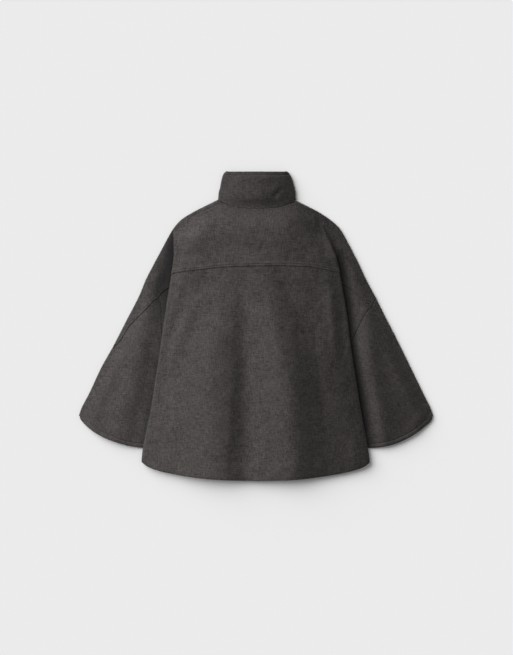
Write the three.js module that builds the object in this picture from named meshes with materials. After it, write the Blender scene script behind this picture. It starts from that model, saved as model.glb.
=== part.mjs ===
// Short wool cape coat with a high stand collar, laid flat with its back up.
// Sizes in millimetres. X runs to the right, Y towards the collar, Z up from the surface the coat
// lies on. X = 0 is the centre back, Y = 0 is halfway between the collar's top and the hem.
// Every maker's piece is one cloth sheet: its middle surface is laid out first, then thickened.
import * as THREE from "three";

// Cloth
const CLOTH = 2.5;
const COLLAR_CLOTH = 3;
const SEAM_GAP = 0.3;
const LAY_GAP = 0.4;
const COLLAR_GAP = 1;
const HALF = CLOTH / 2;
const COLLAR_HALF = COLLAR_CLOTH / 2;

// Heights of the middle of each layer
const FIRST_LAYER = HALF;
const SECOND_LAYER = FIRST_LAYER + CLOTH + LAY_GAP;
const BACK_REST = 12.6;
const NECK_REST = 9.6;
const SLEEVE_EDGE_REST = 4.95;
const COLLAR_RADIUS = (NECK_REST - COLLAR_HALF) / 2;

// Folds: the tuck hidden under the side of the torso, and the soft edge that shows above it
const TUCK_RADIUS = 1.9;
const EDGE_RADIUS = 3.2;
const EDGE_FALL = 95;
const TOP_FALL = 50;
const NECK_RISE = [220, 300];
const TUCK_STEPS = 3;
const EDGE_STEPS = 4;

// Garment sizes
const COLLAR_TOP = 394.5;
const COLLAR_FOOT_HALF = 97;
const COLLAR_STRAIGHT_HALF = 44;
const SLEEVE_EDGE_START = 200;
const FRONT_OVERLAP = 35;
const OVERLAP_STEP = 9;
const FRONT_NECK_DROP = 29;
const SIDE_RAMP = 32;
const UNDERARM_RAMP = 7;
const UNDERARM_EASE = 4.5;
const SLEEVE_EASE = 1;
const CUFF_CORNER = -231;
const HEM_SIDE = -350;

// Outlines seen from above. "up" is Y, "across" is the distance from the centre back.
const LEFT = {
  sign: -1,
  outline: {
    up: [322.8, 312, 292, 271, 251, 230, 200, 159, 118, 77, 15, -46, -107, -169, -210, -230],
    across: [97.4, 119, 159, 192, 210, 223, 239, 261, 282, 299, 331, 362, 396, 425, 446, 453],
  },
  cuff: {
    up: [-230, -241, -261, -282, -302, -311, -312],
    across: [453, 447, 427, 395, 342, 297, 259],
  },
  torso: {
    up: [260, 243, 189, 148, 67, -56, -138, -220, -302, -343, -360],
    across: [214, 212.5, 210, 214, 227, 244.5, 257, 270, 287, 292, 293],
  },
  // How far the cloth turns back on itself at the side of the torso, and how deep it is tucked
  fold: {
    up: [246, 232, 222, 205, 134, 0, -90, -360],
    turn: [0, 60, 120, 180, 180, 180, 180, 180],
    tuck: [1, 1, 1, 1, 8, 16, 22, 25],
  },
  // Armhole seam above and below the point where it crosses the yoke seam
  armholeTop: { up: [113, 91, 71], across: [282, 266.5, 249] },
  armholeLow: { up: [71, 56, 28, 0, -40, -70, -90], across: [249, 243, 242, 241, 237, 229, 222.5] },
  // Yoke seam from the crossing to the tuck, and the sleeve seam from the outline to the crossing
  yokeEnd: { up: [71, 86.5, 96.5, 106], across: [249, 238, 222, 206] },
  sleeveSeam: { up: [-56, -44, -6, 20, 44, 64, 71], across: [366, 351, 327, 303, 279, 261, 249] },
  yokeSeam: { across: [0, 68, 103, 139, 174, 208], up: [152, 150, 147.5, 143, 139.5, 134] },
  frontArmhole: { up: [113, 60, 0, -50, -90], across: [282, 262, 242, 230, 222.5] },
  neck: { across: [0, 41, 82, 97], up: [300, 302, 314, 323.5] },
  collarSide: {
    up: [324, 343, 353, 363, 374, 384, 392, 395.8],
    across: [97, 95, 92, 90.5, 88, 85, 80, 74],
  },
};

const RIGHT = {
  sign: 1,
  outline: {
    up: [321, 312.5, 292, 271, 251, 230, 200, 159, 118, 77, 15, -46, -107, -169, -210, -230],
    across: [102, 119, 159, 191, 213, 226, 242, 263, 282, 304, 335, 366, 396, 426, 446, 453],
  },
  cuff: {
    up: [-230, -241, -261, -282, -302, -311, -312],
    across: [453, 449, 427, 397, 354, 307, 262],
  },
  torso: {
    up: [290, 251, 210, 169, 107, 26, -56, -138, -220, -302, -343, -360],
    across: [172, 176, 192, 207, 219, 233, 243, 256, 269, 284, 290, 291],
  },
  fold: {
    up: [262, 235, 210, 190, 165, 134, 0, -100, -360],
    turn: [0, 35, 80, 120, 180, 180, 180, 180, 180],
    tuck: [1, 1, 1, 1, 3, 7, 17, 23, 25],
  },
  armholeTop: { up: [69, 64, 48], across: [307, 303, 296] },
  armholeLow: {
    up: [48, 33, 5, -24, -41, -72, -100],
    across: [296, 282, 266, 253, 246, 232, 222.5],
  },
  yokeEnd: { up: [48, 66, 89, 102, 112], across: [296, 275, 249, 228, 208.5] },
  sleeveSeam: { up: [-28, -20, -10, 12, 33, 42, 48], across: [352, 347, 338, 320, 304, 299, 296] },
  yokeSeam: { across: [0, 57, 111, 137, 164, 193, 209], up: [152, 153, 151, 150, 145, 139.5, 136.5] },
  frontArmhole: { up: [69, 30, -20, -65, -100], across: [307, 270, 245, 232, 221.8] },
  neck: { across: [0, 49, 87, 102], up: [300, 302, 313, 321] },
  collarSide: {
    up: [321.5, 343, 353, 363, 374, 384, 392, 395.8],
    across: [101.5, 101, 99, 96, 93, 88.5, 83, 77],
  },
};

const HEM = { across: [0, 112, 205, 260, 280, 293], up: [-395.6, -391, -379, -366, -357, -346] };

// The two soft flutes that run down the lower back: where the crest lies at the yoke and at the hem
const FLUTES = [
  { top: -98, hem: -120, width: 60, height: 11 },
  { top: 66, hem: 90, width: 56, height: 10 },
];
const FLUTE_START = 100;
const FLUTE_FULL = -140;

// Grid steps
const YOKE_ROWS = 7;
const SHOULDER_STEPS = 5;
const NECK_POINTS = [-70, -41, -14, 14, 41, 70];
const BODY_ROWS_LOW = 8;
const BODY_ROWS_HIGH = 5;
const SLEEVE_COLUMNS = 6;
const SLEEVE_ROWS_LOW = 9;
const SLEEVE_ROWS_HIGH = 4;
const CUFF_ROWS = SLEEVE_ROWS_LOW - BODY_ROWS_HIGH;
const TUCK_COLUMNS = 3;
const TOP_ROLL = [0, 30, 60, 90];
const FLOOR_ROLL = [-90, -60, -30, 0];
const FRONT_SIDE_STEPS = [0, 8, 16, 24, 32];
const FRONT_MIDDLE_STEPS = 4;
const COLLAR_ROWS = 5;
const HALVINGS = 40;
const SAME_PLACE = 1e-6;
const KEYS_PER_MM = 1000;
const SHARPEST_TURN = 0.6;
// How quickly a front's rows straighten away from the hem and from the neck
const LOW_PULL = 4;
const HIGH_PULL = 6;

const WOOL = new THREE.MeshStandardMaterial({ color: 0x4a4745, roughness: 0.95, metalness: 0 });
const COLLAR_WOOL = new THREE.MeshStandardMaterial({ color: 0x403d3c, roughness: 0.95, metalness: 0 });

const mix = THREE.MathUtils.lerp;
const smooth = THREE.MathUtils.smoothstep;
const steps = (count) => Array.from({ length: count + 1 }, (_, i) => i / count);

// The value in one column of a table where another column has the given value
function lookup(table, from, to, value) {
  const keys = table[from];
  const rising = keys[keys.length - 1] > keys[0];
  let i = 1;
  while (i < keys.length - 1 && (rising ? keys[i] < value : keys[i] > value)) i += 1;
  const share = THREE.MathUtils.clamp((value - keys[i - 1]) / (keys[i] - keys[i - 1]), 0, 1);
  return mix(table[to][i - 1], table[to][i], share);
}

// A smooth curve through the rows of a table, on one side of the coat
function curveOf(side, table) {
  const points = table.up.map((up, i) => new THREE.Vector3(side.sign * table.across[i], up, 0));
  return new THREE.CatmullRomCurve3(points, false, "centripetal");
}

function pointsOf(curve, count, from = 0, to = 1) {
  return steps(count).map((share) => curve.getPointAt(mix(from, to, share)));
}

// The place along a curve that runs downwards where it has the given height
function placeAt(curve, test) {
  let low = 0;
  let high = 1;
  for (let i = 0; i < HALVINGS; i += 1) {
    const middle = (low + high) / 2;
    if (test(curve.getPointAt(middle))) low = middle;
    else high = middle;
  }
  return (low + high) / 2;
}

// Height of the middle of the upper layer beside the outline: high at the collar, low at the sleeve
function edgeHeight(across) {
  return mix(NECK_REST, SLEEVE_EDGE_REST, smooth(across, COLLAR_FOOT_HALF, SLEEVE_EDGE_START));
}

// A point on the rolled edge at the outline: 90 degrees is its top, 0 its side, -90 its foot
function rolled(side, place, degrees) {
  const point = side.outlineCurve.getPointAt(place);
  const along = side.outlineCurve.getTangentAt(place);
  const outward = new THREE.Vector3(-side.sign * along.y, side.sign * along.x, 0);
  const radius = (edgeHeight(Math.abs(point.x)) - FIRST_LAYER) / 2;
  const angle = THREE.MathUtils.degToRad(degrees);
  point.addScaledVector(outward, radius * (Math.cos(angle) - 1) - HALF);
  point.z = FIRST_LAYER + radius * (1 + Math.sin(angle));
  return point;
}

const inset = (side, place) => rolled(side, place, 90);

// Height at which the sleeve's upper layer meets the fold
function tuckHeight(side, up) {
  const away = smooth(side.foldTop.y - up, 0, TOP_FALL);
  return mix(edgeHeight(Math.abs(side.foldTop.x)), SECOND_LAYER, away);
}

// Section of the fold at the side of the torso, from the sleeve over the tuck to the torso's top
function foldSection(side, up) {
  const turn = THREE.MathUtils.degToRad(lookup(side.fold, "up", "turn", up));
  const tuck = lookup(side.fold, "up", "tuck", up);
  const crest = lookup(side.torso, "up", "across", up) - HALF - EDGE_RADIUS;
  const foot = crest + (TUCK_RADIUS + EDGE_RADIUS) * Math.sin(turn) + tuck * Math.cos(turn);
  const low = tuckHeight(side, up);
  const high = low + (TUCK_RADIUS + EDGE_RADIUS) * (1 - Math.cos(turn)) + tuck * Math.sin(turn);
  const nodes = [];
  for (const share of steps(TUCK_STEPS)) {
    const angle = turn * share;
    nodes.push([foot - TUCK_RADIUS * Math.sin(angle), low + TUCK_RADIUS * (1 - Math.cos(angle))]);
  }
  for (const share of steps(EDGE_STEPS)) {
    const angle = turn * (1 - share);
    nodes.push([crest + EDGE_RADIUS * Math.sin(angle), high - EDGE_RADIUS * (1 - Math.cos(angle))]);
  }
  return nodes;
}

const LAST_NODE = TUCK_STEPS + EDGE_STEPS + 1;

function foldPoint(side, node, up) {
  const kept = up < side.underarm && node < TUCK_STEPS ? TUCK_STEPS : node;
  const [across, height] = foldSection(side, up)[kept];
  return new THREE.Vector3(side.sign * across, up, height);
}

// The upper layer of the sleeve, from the tuck out to the rolled edge
function onSleeve(side, point) {
  const foot = foldSection(side, point.y)[0][0];
  const edge = lookup(side.outline, "up", "across", point.y) - HALF;
  const share = THREE.MathUtils.clamp((Math.abs(point.x) - foot) / (edge - foot), 0, 1);
  const high = edgeHeight(Math.abs(point.x));
  return point.clone().setZ(mix(tuckHeight(side, point.y), high, share));
}

function fluteHeight(x, y) {
  const share = smooth(FLUTE_START - y, 0, FLUTE_START - FLUTE_FULL);
  let height = 0;
  for (const flute of FLUTES) {
    const crest = mix(flute.top, flute.hem, share);
    height += flute.height * share * Math.exp(-(((x - crest) / flute.width) ** 2));
  }
  return height;
}

// Height of the middle of the torso's upper layer
function torsoHeight(x, y) {
  const middle = mix(BACK_REST, NECK_REST, smooth(y, ...NECK_RISE)) + fluteHeight(x, y);
  let height = middle;
  for (const side of [LEFT, RIGHT]) {
    const [across, high] = foldSection(side, y)[LAST_NODE];
    const inward = Math.max(0, across - side.sign * x);
    height += (high - middle) * (1 - smooth(inward, 0, EDGE_FALL));
  }
  return height;
}

const keyOf = (point) => point.toArray().map((value) => Math.round(value * KEYS_PER_MM)).join(" ");

// A cloth sheet's middle surface, gathered from grids that share their border points
class Sheet {
  constructor() {
    this.points = [];
    this.triangles = [];
    this.found = new Map();
  }

  index(point) {
    const key = keyOf(point);
    if (!this.found.has(key)) {
      this.found.set(key, this.points.length);
      this.points.push(point.clone());
    }
    return this.found.get(key);
  }

  triangle(a, b, c) {
    if (a !== b && b !== c && c !== a) this.triangles.push([a, b, c]);
  }

  grid(rows) {
    const indices = rows.map((row) => row.map((point) => this.index(point)));
    for (let j = 0; j + 1 < indices.length; j += 1) {
      for (let i = 0; i + 1 < indices[j].length; i += 1) {
        const [a, b, c, d] = [indices[j][i], indices[j][i + 1], indices[j + 1][i + 1], indices[j + 1][i]];
        this.triangle(a, b, c);
        this.triangle(a, c, d);
      }
    }
  }

  // The directed edges that belong to one triangle only
  border() {
    const edges = new Map();
    for (const [a, b, c] of this.triangles) {
      for (const [from, to] of [[a, b], [b, c], [c, a]]) edges.set(`${from} ${to}`, [from, to]);
    }
    return [...edges.values()].filter(([from, to]) => !edges.has(`${to} ${from}`));
  }

  // Adds this sheet's share of the facing direction at each of its points
  addFacing(facing) {
    for (const corners of this.triangles) {
      const [a, b, c] = corners.map((i) => this.points[i]);
      const face = b.clone().sub(a).cross(c.clone().sub(a)).normalize();
      corners.forEach((i, k) => {
        const next = this.points[corners[(k + 1) % 3]].clone().sub(this.points[i]);
        const last = this.points[corners[(k + 2) % 3]].clone().sub(this.points[i]);
        const key = keyOf(this.points[i]);
        if (!facing.has(key)) facing.set(key, new THREE.Vector3());
        facing.get(key).addScaledVector(face, next.angleTo(last));
      });
    }
  }

  // Draws the border in by half a seam gap, so that two sheets sewn together stay apart
  drawIn(distance, normals) {
    const inward = new Map();
    for (const [from, to] of this.border()) {
      const along = this.points[to].clone().sub(this.points[from]).normalize();
      for (const i of [from, to]) {
        if (!inward.has(i)) inward.set(i, []);
        inward.get(i).push(normals[i].clone().cross(along).normalize());
      }
    }
    for (const [i, ways] of inward) {
      const way = ways.reduce((sum, one) => sum.add(one), new THREE.Vector3()).normalize();
      const reach = distance / Math.max(SHARPEST_TURN, way.dot(ways[0].clone().normalize()));
      this.points[i].addScaledVector(way, reach);
    }
  }

  thickened(thickness, facing) {
    const normals = this.points.map((point) => facing.get(keyOf(point)).clone().normalize());
    const keys = this.points.map(keyOf);
    this.drawIn(SEAM_GAP / 2, normals);
    const count = this.points.length;
    const faces = [];
    for (const [a, b, c] of this.triangles) faces.push([a, b, c], [c + count, b + count, a + count]);
    for (const [from, to] of this.border()) {
      // Both sheets of a seam split their walls along the same diagonal
      if (keys[from] < keys[to]) {
        faces.push([to, from, from + count], [to, from + count, to + count]);
      } else {
        faces.push([to, from, to + count], [from, from + count, to + count]);
      }
    }
    const spots = [thickness / 2, -thickness / 2].flatMap((shift) =>
      this.points.map((point, i) => point.clone().addScaledVector(normals[i], shift)),
    );
    return solidFrom(spots, faces);
  }
}

// A closed geometry with its faces turned outwards
function solidFrom(spots, faces) {
  let volume = 0;
  for (const [a, b, c] of faces) volume += spots[a].dot(spots[b].clone().cross(spots[c]));
  const turned = volume < 0 ? faces.map(([a, b, c]) => [c, b, a]) : faces;
  const geometry = new THREE.BufferGeometry().setFromPoints(spots);
  geometry.setIndex(turned.flat());
  const flat = geometry.toNonIndexed();
  flat.computeVertexNormals();
  return flat;
}

// Shares of the whole length at which the points of a line lie
function shares(line) {
  const lengths = [0];
  for (let i = 1; i < line.length; i += 1) lengths.push(lengths[i - 1] + line[i].distanceTo(line[i - 1]));
  const whole = lengths[lengths.length - 1];
  return whole > SAME_PLACE ? lengths.map((length) => length / whole) : null;
}

function meanShares(first, second) {
  const [a, b] = [shares(first), shares(second)];
  if (!a) return b;
  if (!b) return a;
  return a.map((value, i) => (value + b[i]) / 2);
}

// A grid that fills four border lines: bottom and top run inwards, left and right run upwards
function filled(bottom, top, left, right) {
  const across = meanShares(bottom, top);
  const up = meanShares(left, right);
  const last = bottom.length - 1;
  return left.map((start, j) =>
    bottom.map((low, i) => {
      const [u, v] = [across[i], up[j]];
      const point = new THREE.Vector3();
      point.addScaledVector(low, 1 - v).addScaledVector(top[i], v);
      point.addScaledVector(start, 1 - u).addScaledVector(right[j], u);
      point.addScaledVector(bottom[0], -(1 - u) * (1 - v)).addScaledVector(bottom[last], -u * (1 - v));
      point.addScaledVector(top[0], -(1 - u) * v).addScaledVector(top[last], -u * v);
      return point;
    }),
  );
}

// Places and lines that several pieces of one side share
function prepare(side) {
  side.outlineCurve = curveOf(side, side.outline);
  side.underarm = side.armholeLow.up[side.armholeLow.up.length - 1];
  const torsoTop = side.torso.across[0];
  const near = (point) => Math.abs(point.x) < torsoTop - HALF;
  side.foldTop = side.outlineCurve.getPointAt(placeAt(side.outlineCurve, near));
  side.foldPlaces = foldSection(side, side.foldTop.y).map(([across]) => placeAt(side.outlineCurve,
    (point) => Math.abs(point.x) - HALF - 1 < across));
  side.armholePlace = placeAt(side.outlineCurve, (point) => point.y > side.armholeTop.up[0]);
  side.seamPlace = placeAt(side.outlineCurve, (point) => point.y > side.sleeveSeam.up[0]);
}

// Height of the yoke seam on each line of the fold
function yokeSeamOnFold(side, node) {
  const low = side.yokeEnd.up[side.yokeEnd.up.length - 1];
  const high = side.yokeSeam.up[side.yokeSeam.up.length - 1];
  return mix(low, high, node / LAST_NODE);
}

// Columns of the fold between two heights: one list of points for every line of the fold
function foldColumns(side, rows, lowOf, highOf) {
  return Array.from({ length: LAST_NODE + 1 }, (_, node) =>
    rows.map((share) => foldPoint(side, node, mix(lowOf(node), highOf(node), share))),
  );
}

const asRows = (columns) => columns[0].map((_, j) => columns.map((column) => column[j]));

// Adds a grid whose rows run from the outline inwards and up, turned the same way on both sides
function addRows(sheet, side, rows) {
  sheet.grid(side.sign < 0 ? rows : rows.map((row) => [...row].reverse()));
}

// The rolled edge beside the outline, at places that run up towards the collar
function addRoll(sheet, side, places, angles) {
  addRows(sheet, side, places.map((place) => angles.map((angle) => rolled(side, place, angle))));
}

// A seam line lifted onto the sleeve, with exact points at its two ends
function seamLine(side, table, count, first, last) {
  const line = pointsOf(curveOf(side, table), count).map((point) => onSleeve(side, point));
  if (first) line[0] = first;
  if (last) line[count] = last;
  return line;
}

// The point where the yoke seam, the armhole seam and the sleeve seam cross
function crossingOf(side) {
  return onSleeve(side, curveOf(side, side.yokeEnd).getPoint(0));
}

const sideOf = (x) => (x < 0 ? LEFT : RIGHT);
const neckAt = (x) => lookup(sideOf(x).neck, "across", "up", Math.abs(x));
const yokeSeamAt = (x) => lookup(sideOf(x).yokeSeam, "across", "up", Math.abs(x));
const hemAt = (x) => lookup(HEM, "across", "up", Math.abs(x));

// Yoke beside the torso: the fold, the dropped shoulder outside it and the rolled edge
function yokeSide(sheet, side) {
  const rows = steps(YOKE_ROWS);
  const columns = foldColumns(side, rows, (node) => yokeSeamOnFold(side, node),
    (node) => inset(side, side.foldPlaces[node]).y);
  columns.forEach((column, node) => {
    column[YOKE_ROWS] = inset(side, side.foldPlaces[node]);
  });
  addRows(sheet, side, asRows(columns));
  const places = rows.map((share) => mix(side.armholePlace, side.foldPlaces[0], share));
  const left = places.map((place) => inset(side, place));
  const crossing = crossingOf(side);
  const bottom = [
    ...seamLine(side, side.armholeTop, SLEEVE_COLUMNS, left[0], crossing),
    ...seamLine(side, side.yokeEnd, TUCK_COLUMNS, crossing, columns[0][0]).slice(1),
  ];
  addRows(sheet, side, filled(bottom, bottom.map(() => left[YOKE_ROWS]), left, columns[0]));
  addRoll(sheet, side, places, TOP_ROLL);
  return columns[LAST_NODE];
}

// One upright line of the yoke's middle, from the seam to its top point
function yokeColumn(x, top) {
  const low = yokeSeamAt(x);
  return steps(YOKE_ROWS).map((share) => {
    const point = new THREE.Vector3(mix(x, top.x, share), mix(low, top.y, share), 0);
    const near = 1 - smooth((1 - share) * (top.y - low), 0, TOP_FALL);
    return point.setZ(mix(torsoHeight(point.x, point.y), top.z, near));
  });
}

// Places of the shoulder's upper part, from the fold's top to the collar
function shoulderPlaces(side) {
  return steps(SHOULDER_STEPS).map((share) => side.foldPlaces[LAST_NODE] * (1 - share));
}

// Top points of the upright lines between the two folds: shoulder, neck seam, shoulder
function yokeTops() {
  return [
    ...shoulderPlaces(LEFT).slice(1).map((place) => inset(LEFT, place)),
    ...NECK_POINTS.map((x) => new THREE.Vector3(x, neckAt(x), NECK_REST)),
    ...shoulderPlaces(RIGHT).slice(1).reverse().map((place) => inset(RIGHT, place)),
  ];
}

// X at which those lines cross the yoke seam
function seamPositions() {
  const lowOf = (side) => foldPoint(side, LAST_NODE, yokeSeamOnFold(side, LAST_NODE)).x;
  const highOf = (side) => inset(side, side.foldPlaces[LAST_NODE]).x;
  const low = [LEFT, RIGHT].map(lowOf);
  const high = [LEFT, RIGHT].map(highOf);
  return yokeTops().map((top) => mix(low[0], low[1], (top.x - high[0]) / (high[1] - high[0])));
}

function backYoke() {
  const sheet = new Sheet();
  const [left, right] = [LEFT, RIGHT].map((side) => yokeSide(sheet, side));
  const tops = yokeTops();
  const middle = seamPositions().map((x, i) => yokeColumn(x, tops[i]));
  sheet.grid(asRows([left, ...middle, right]));
  for (const side of [LEFT, RIGHT]) {
    addRoll(sheet, side, [...side.foldPlaces.slice(0, -1), ...shoulderPlaces(side)], TOP_ROLL);
  }
  return sheet;
}

// Height of the hem on one line of the fold
function bodyHem(side, node) {
  return hemAt(foldSection(side, HEM_SIDE)[Math.max(node, TUCK_STEPS)][0]);
}

// Shares of the height at which the rows of the lower back lie: two rows meet at the underarm
function bodyRows(side) {
  const low = bodyHem(side, 0);
  const height = yokeSeamOnFold(side, 0) - low;
  const below = (side.underarm - UNDERARM_RAMP - low) / height;
  const above = (side.underarm - low) / height;
  const lower = steps(BODY_ROWS_LOW).map((share) => share * below);
  return [...lower, ...steps(BODY_ROWS_HIGH).map((share) => mix(above, 1, share))];
}

// Lower back beside the torso: the fold, and above the underarm the part that reaches the armhole
function bodySide(sheet, side) {
  const hemOf = (node) => bodyHem(side, node);
  const seamOf = (node) => yokeSeamOnFold(side, node);
  const columns = foldColumns(side, bodyRows(side), hemOf, seamOf);
  for (const column of columns.slice(0, TUCK_STEPS)) {
    for (let j = 0; j <= BODY_ROWS_LOW; j += 1) column[j] = columns[TUCK_STEPS][j];
  }
  addRows(sheet, side, asRows(columns));
  const right = columns[0].slice(BODY_ROWS_LOW + 1);
  const crossing = crossingOf(side);
  const left = seamLine(side, side.armholeLow, BODY_ROWS_HIGH, crossing, right[0]).reverse();
  const top = seamLine(side, side.yokeEnd, TUCK_COLUMNS, crossing, right[BODY_ROWS_HIGH]);
  addRows(sheet, side, filled(top.map(() => right[0]), top, left, right));
  return columns[LAST_NODE];
}

// One line of the lower back between the folds, at a share of the way from left to right
function bodyColumn(left, right, share) {
  const last = left.length - 1;
  const low = hemAt(mix(left[0].x, right[0].x, share));
  const high = yokeSeamAt(mix(left[last].x, right[last].x, share));
  const from = mix(left[0].y, right[0].y, share);
  const to = mix(left[last].y, right[last].y, share);
  return left.map((start, j) => {
    const point = start.clone().lerp(right[j], share);
    point.y = mix(low, high, (point.y - from) / (to - from));
    return point.setZ(torsoHeight(point.x, point.y));
  });
}

function backBody() {
  const sheet = new Sheet();
  const [left, right] = [LEFT, RIGHT].map((side) => bodySide(sheet, side));
  const last = left.length - 1;
  const inner = seamPositions().map((x) =>
    bodyColumn(left, right, (x - left[last].x) / (right[last].x - left[last].x)));
  sheet.grid(asRows([left, ...inner, right]));
  return sheet;
}

// Outline places of the sleeve's rows: cuff corner to sleeve seam, and on to the armhole seam
function placesOnSleeve(side) {
  const corner = placeAt(side.outlineCurve, (point) => point.y > CUFF_CORNER);
  const low = steps(SLEEVE_ROWS_LOW).map((share) => mix(corner, side.seamPlace, share));
  const high = steps(SLEEVE_ROWS_HIGH).map((share) => mix(side.seamPlace, side.armholePlace, share));
  return [...low, ...high.slice(1)];
}

// The sleeve's inner edge under the torso, from the cuff to the underarm
function innerEdge(side, count, height) {
  const foot = side.cuff.up[side.cuff.up.length - 1];
  return steps(count).map((share) => {
    const up = mix(foot, side.underarm, share);
    return new THREE.Vector3(side.sign * foldSection(side, up)[0][0], up, height);
  });
}

function cuffLine(side, first, last) {
  const line = pointsOf(curveOf(side, side.cuff), SLEEVE_COLUMNS);
  line.forEach((point, i) => point.setZ(mix(first.z, last.z, i / SLEEVE_COLUMNS)));
  line[0] = first;
  line[SLEEVE_COLUMNS] = last;
  return line;
}

// Sleeve piece that shows: below the armhole seam and the sleeve seam, above the cuff
function sleeveBack(side) {
  const sheet = new Sheet();
  const places = placesOnSleeve(side).slice(0, SLEEVE_ROWS_LOW + 1);
  const left = places.map((place) => inset(side, place));
  const crossing = crossingOf(side);
  const inner = innerEdge(side, CUFF_ROWS, SECOND_LAYER);
  inner[CUFF_ROWS].x += side.sign * SLEEVE_EASE;
  const high = seamLine(side, side.armholeLow, SLEEVE_ROWS_LOW - CUFF_ROWS, crossing, inner[CUFF_ROWS]);
  const right = [...inner, ...high.reverse().slice(1)];
  const top = seamLine(side, side.sleeveSeam, SLEEVE_COLUMNS, left[SLEEVE_ROWS_LOW], crossing);
  addRows(sheet, side, filled(cuffLine(side, left[0], right[0]), top, left, right));
  addRoll(sheet, side, places, TOP_ROLL);
  return sheet;
}

// Sleeve piece on the table, which wraps round the outer edge as far as the two seams that show
function sleeveFront(side) {
  const sheet = new Sheet();
  const places = placesOnSleeve(side);
  const left = places.map((place) => rolled(side, place, -90));
  const right = innerEdge(side, left.length - 1, FIRST_LAYER);
  const top = pointsOf(curveOf(side, side.frontArmhole), SLEEVE_COLUMNS);
  top.forEach((point) => point.setZ(FIRST_LAYER));
  top[0] = left[left.length - 1];
  top[SLEEVE_COLUMNS] = right[right.length - 1];
  const floor = filled(cuffLine(side, left[0], right[0]), top, left, right);
  addRows(sheet, side, floor.map((row) => [...row].reverse()));
  addRoll(sheet, side, places, FLOOR_ROLL);
  const shown = places.slice(SLEEVE_ROWS_LOW);
  addRoll(sheet, side, shown, TOP_ROLL);
  const outer = shown.map((place) => inset(side, place));
  const crossing = crossingOf(side);
  const low = seamLine(side, side.sleeveSeam, SLEEVE_COLUMNS, outer[0], crossing);
  const high = seamLine(side, side.armholeTop, SLEEVE_COLUMNS, outer[SLEEVE_ROWS_HIGH], crossing);
  addRows(sheet, side, filled(low, high, outer, outer.map(() => crossing)));
  return sheet;
}

// Height of the front: on the table, raised at the side seam and where it laps the other front
function frontHeight(side, x, y) {
  const away = foldSection(side, y)[0][0] - Math.abs(x);
  const raised = smooth(side.underarm - y, 0, UNDERARM_RAMP) * (1 - smooth(away, 0, SIDE_RAMP));
  const over = side.overlapsInside ? smooth(x, -FRONT_OVERLAP - OVERLAP_STEP, -FRONT_OVERLAP - 1) : 0;
  return FIRST_LAYER + raised * (2 * TUCK_RADIUS + SECOND_LAYER - FIRST_LAYER) +
    over * (COLLAR_CLOTH + LAY_GAP);
}

// The front's outer border: up the side seam, the armhole seam and the shoulder
function frontSide(side) {
  const low = steps(BODY_ROWS_LOW).map((share) => {
    const up = mix(bodyHem(side, 0), side.underarm - UNDERARM_RAMP, share);
    return new THREE.Vector3(side.sign * foldSection(side, up)[0][0], up, 0);
  });
  const armhole = pointsOf(curveOf(side, side.frontArmhole), SLEEVE_COLUMNS).reverse();
  for (const point of [low[BODY_ROWS_LOW], armhole[0]]) point.x -= side.sign * UNDERARM_EASE;
  const sleeveTop = steps(YOKE_ROWS).map((share) => mix(side.armholePlace, side.foldPlaces[0], share));
  const all = [...sleeveTop, ...side.foldPlaces, ...shoulderPlaces(side)];
  const shoulder = all.filter((place, i) => i === 0 || all[i - 1] - place > SAME_PLACE);
  armhole[SLEEVE_COLUMNS] = rolled(side, shoulder[0], -90);
  const edge = shoulder.slice(1).map((place) => rolled(side, place, -90));
  return { line: [...low, ...armhole, ...edge], shoulder };
}

// X of the points of one row of a front, from its outer border to its front edge
function frontRow(side, start) {
  const inward = -side.sign;
  const near = FRONT_SIDE_STEPS.map((step) => start + inward * step);
  const ends = side.overlapsInside
    ? [-FRONT_OVERLAP - OVERLAP_STEP, -FRONT_OVERLAP - 1, 0, FRONT_OVERLAP]
    : [0, -FRONT_OVERLAP];
  const last = near[near.length - 1];
  const middle = steps(FRONT_MIDDLE_STEPS).slice(1, -1).map((share) => mix(last, ends[0], share));
  return [...near, ...middle, ...ends];
}

// Front piece on the table, from the side seam to past the middle, where the two fronts lap
function front(side) {
  const sheet = new Sheet();
  const { line, shoulder } = frontSide(side);
  const end = side.overlapsInside ? FRONT_OVERLAP : -FRONT_OVERLAP;
  const bottom = hemAt(end);
  const top = neckAt(0) - FRONT_NECK_DROP;
  const lengths = shares(line);
  const rows = line.map((start, j) => {
    const up = lengths[j];
    const lowPull = Math.max(0, 1 - up * LOW_PULL) ** 2;
    const highPull = Math.max(0, 1 - (1 - up) * HIGH_PULL) ** 2;
    return frontRow(side, start.x).map((x) => {
      const across = (x - start.x) / (end - start.x);
      let y = mix(start.y, mix(bottom, top, up), across);
      y += lowPull * (hemAt(x) - mix(line[0].y, bottom, across));
      y += highPull * (frontNeckAt(x) - mix(line[line.length - 1].y, top, across));
      return new THREE.Vector3(x, y, frontHeight(side, x, y));
    }).reverse();
  });
  addRows(sheet, side, rows);
  addRoll(sheet, side, shoulder, FLOOR_ROLL);
  return sheet;
}

// The front neck seam dips below the back one, from the shoulder's end to the front edge
function frontNeckAt(x) {
  const end = rolled(sideOf(x), 0, -90);
  const middle = neckAt(0) - FRONT_NECK_DROP;
  const share = Math.min(1, Math.abs(x / end.x));
  return end.y - (end.y - middle) * Math.cos((share * Math.PI) / 2);
}

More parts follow.
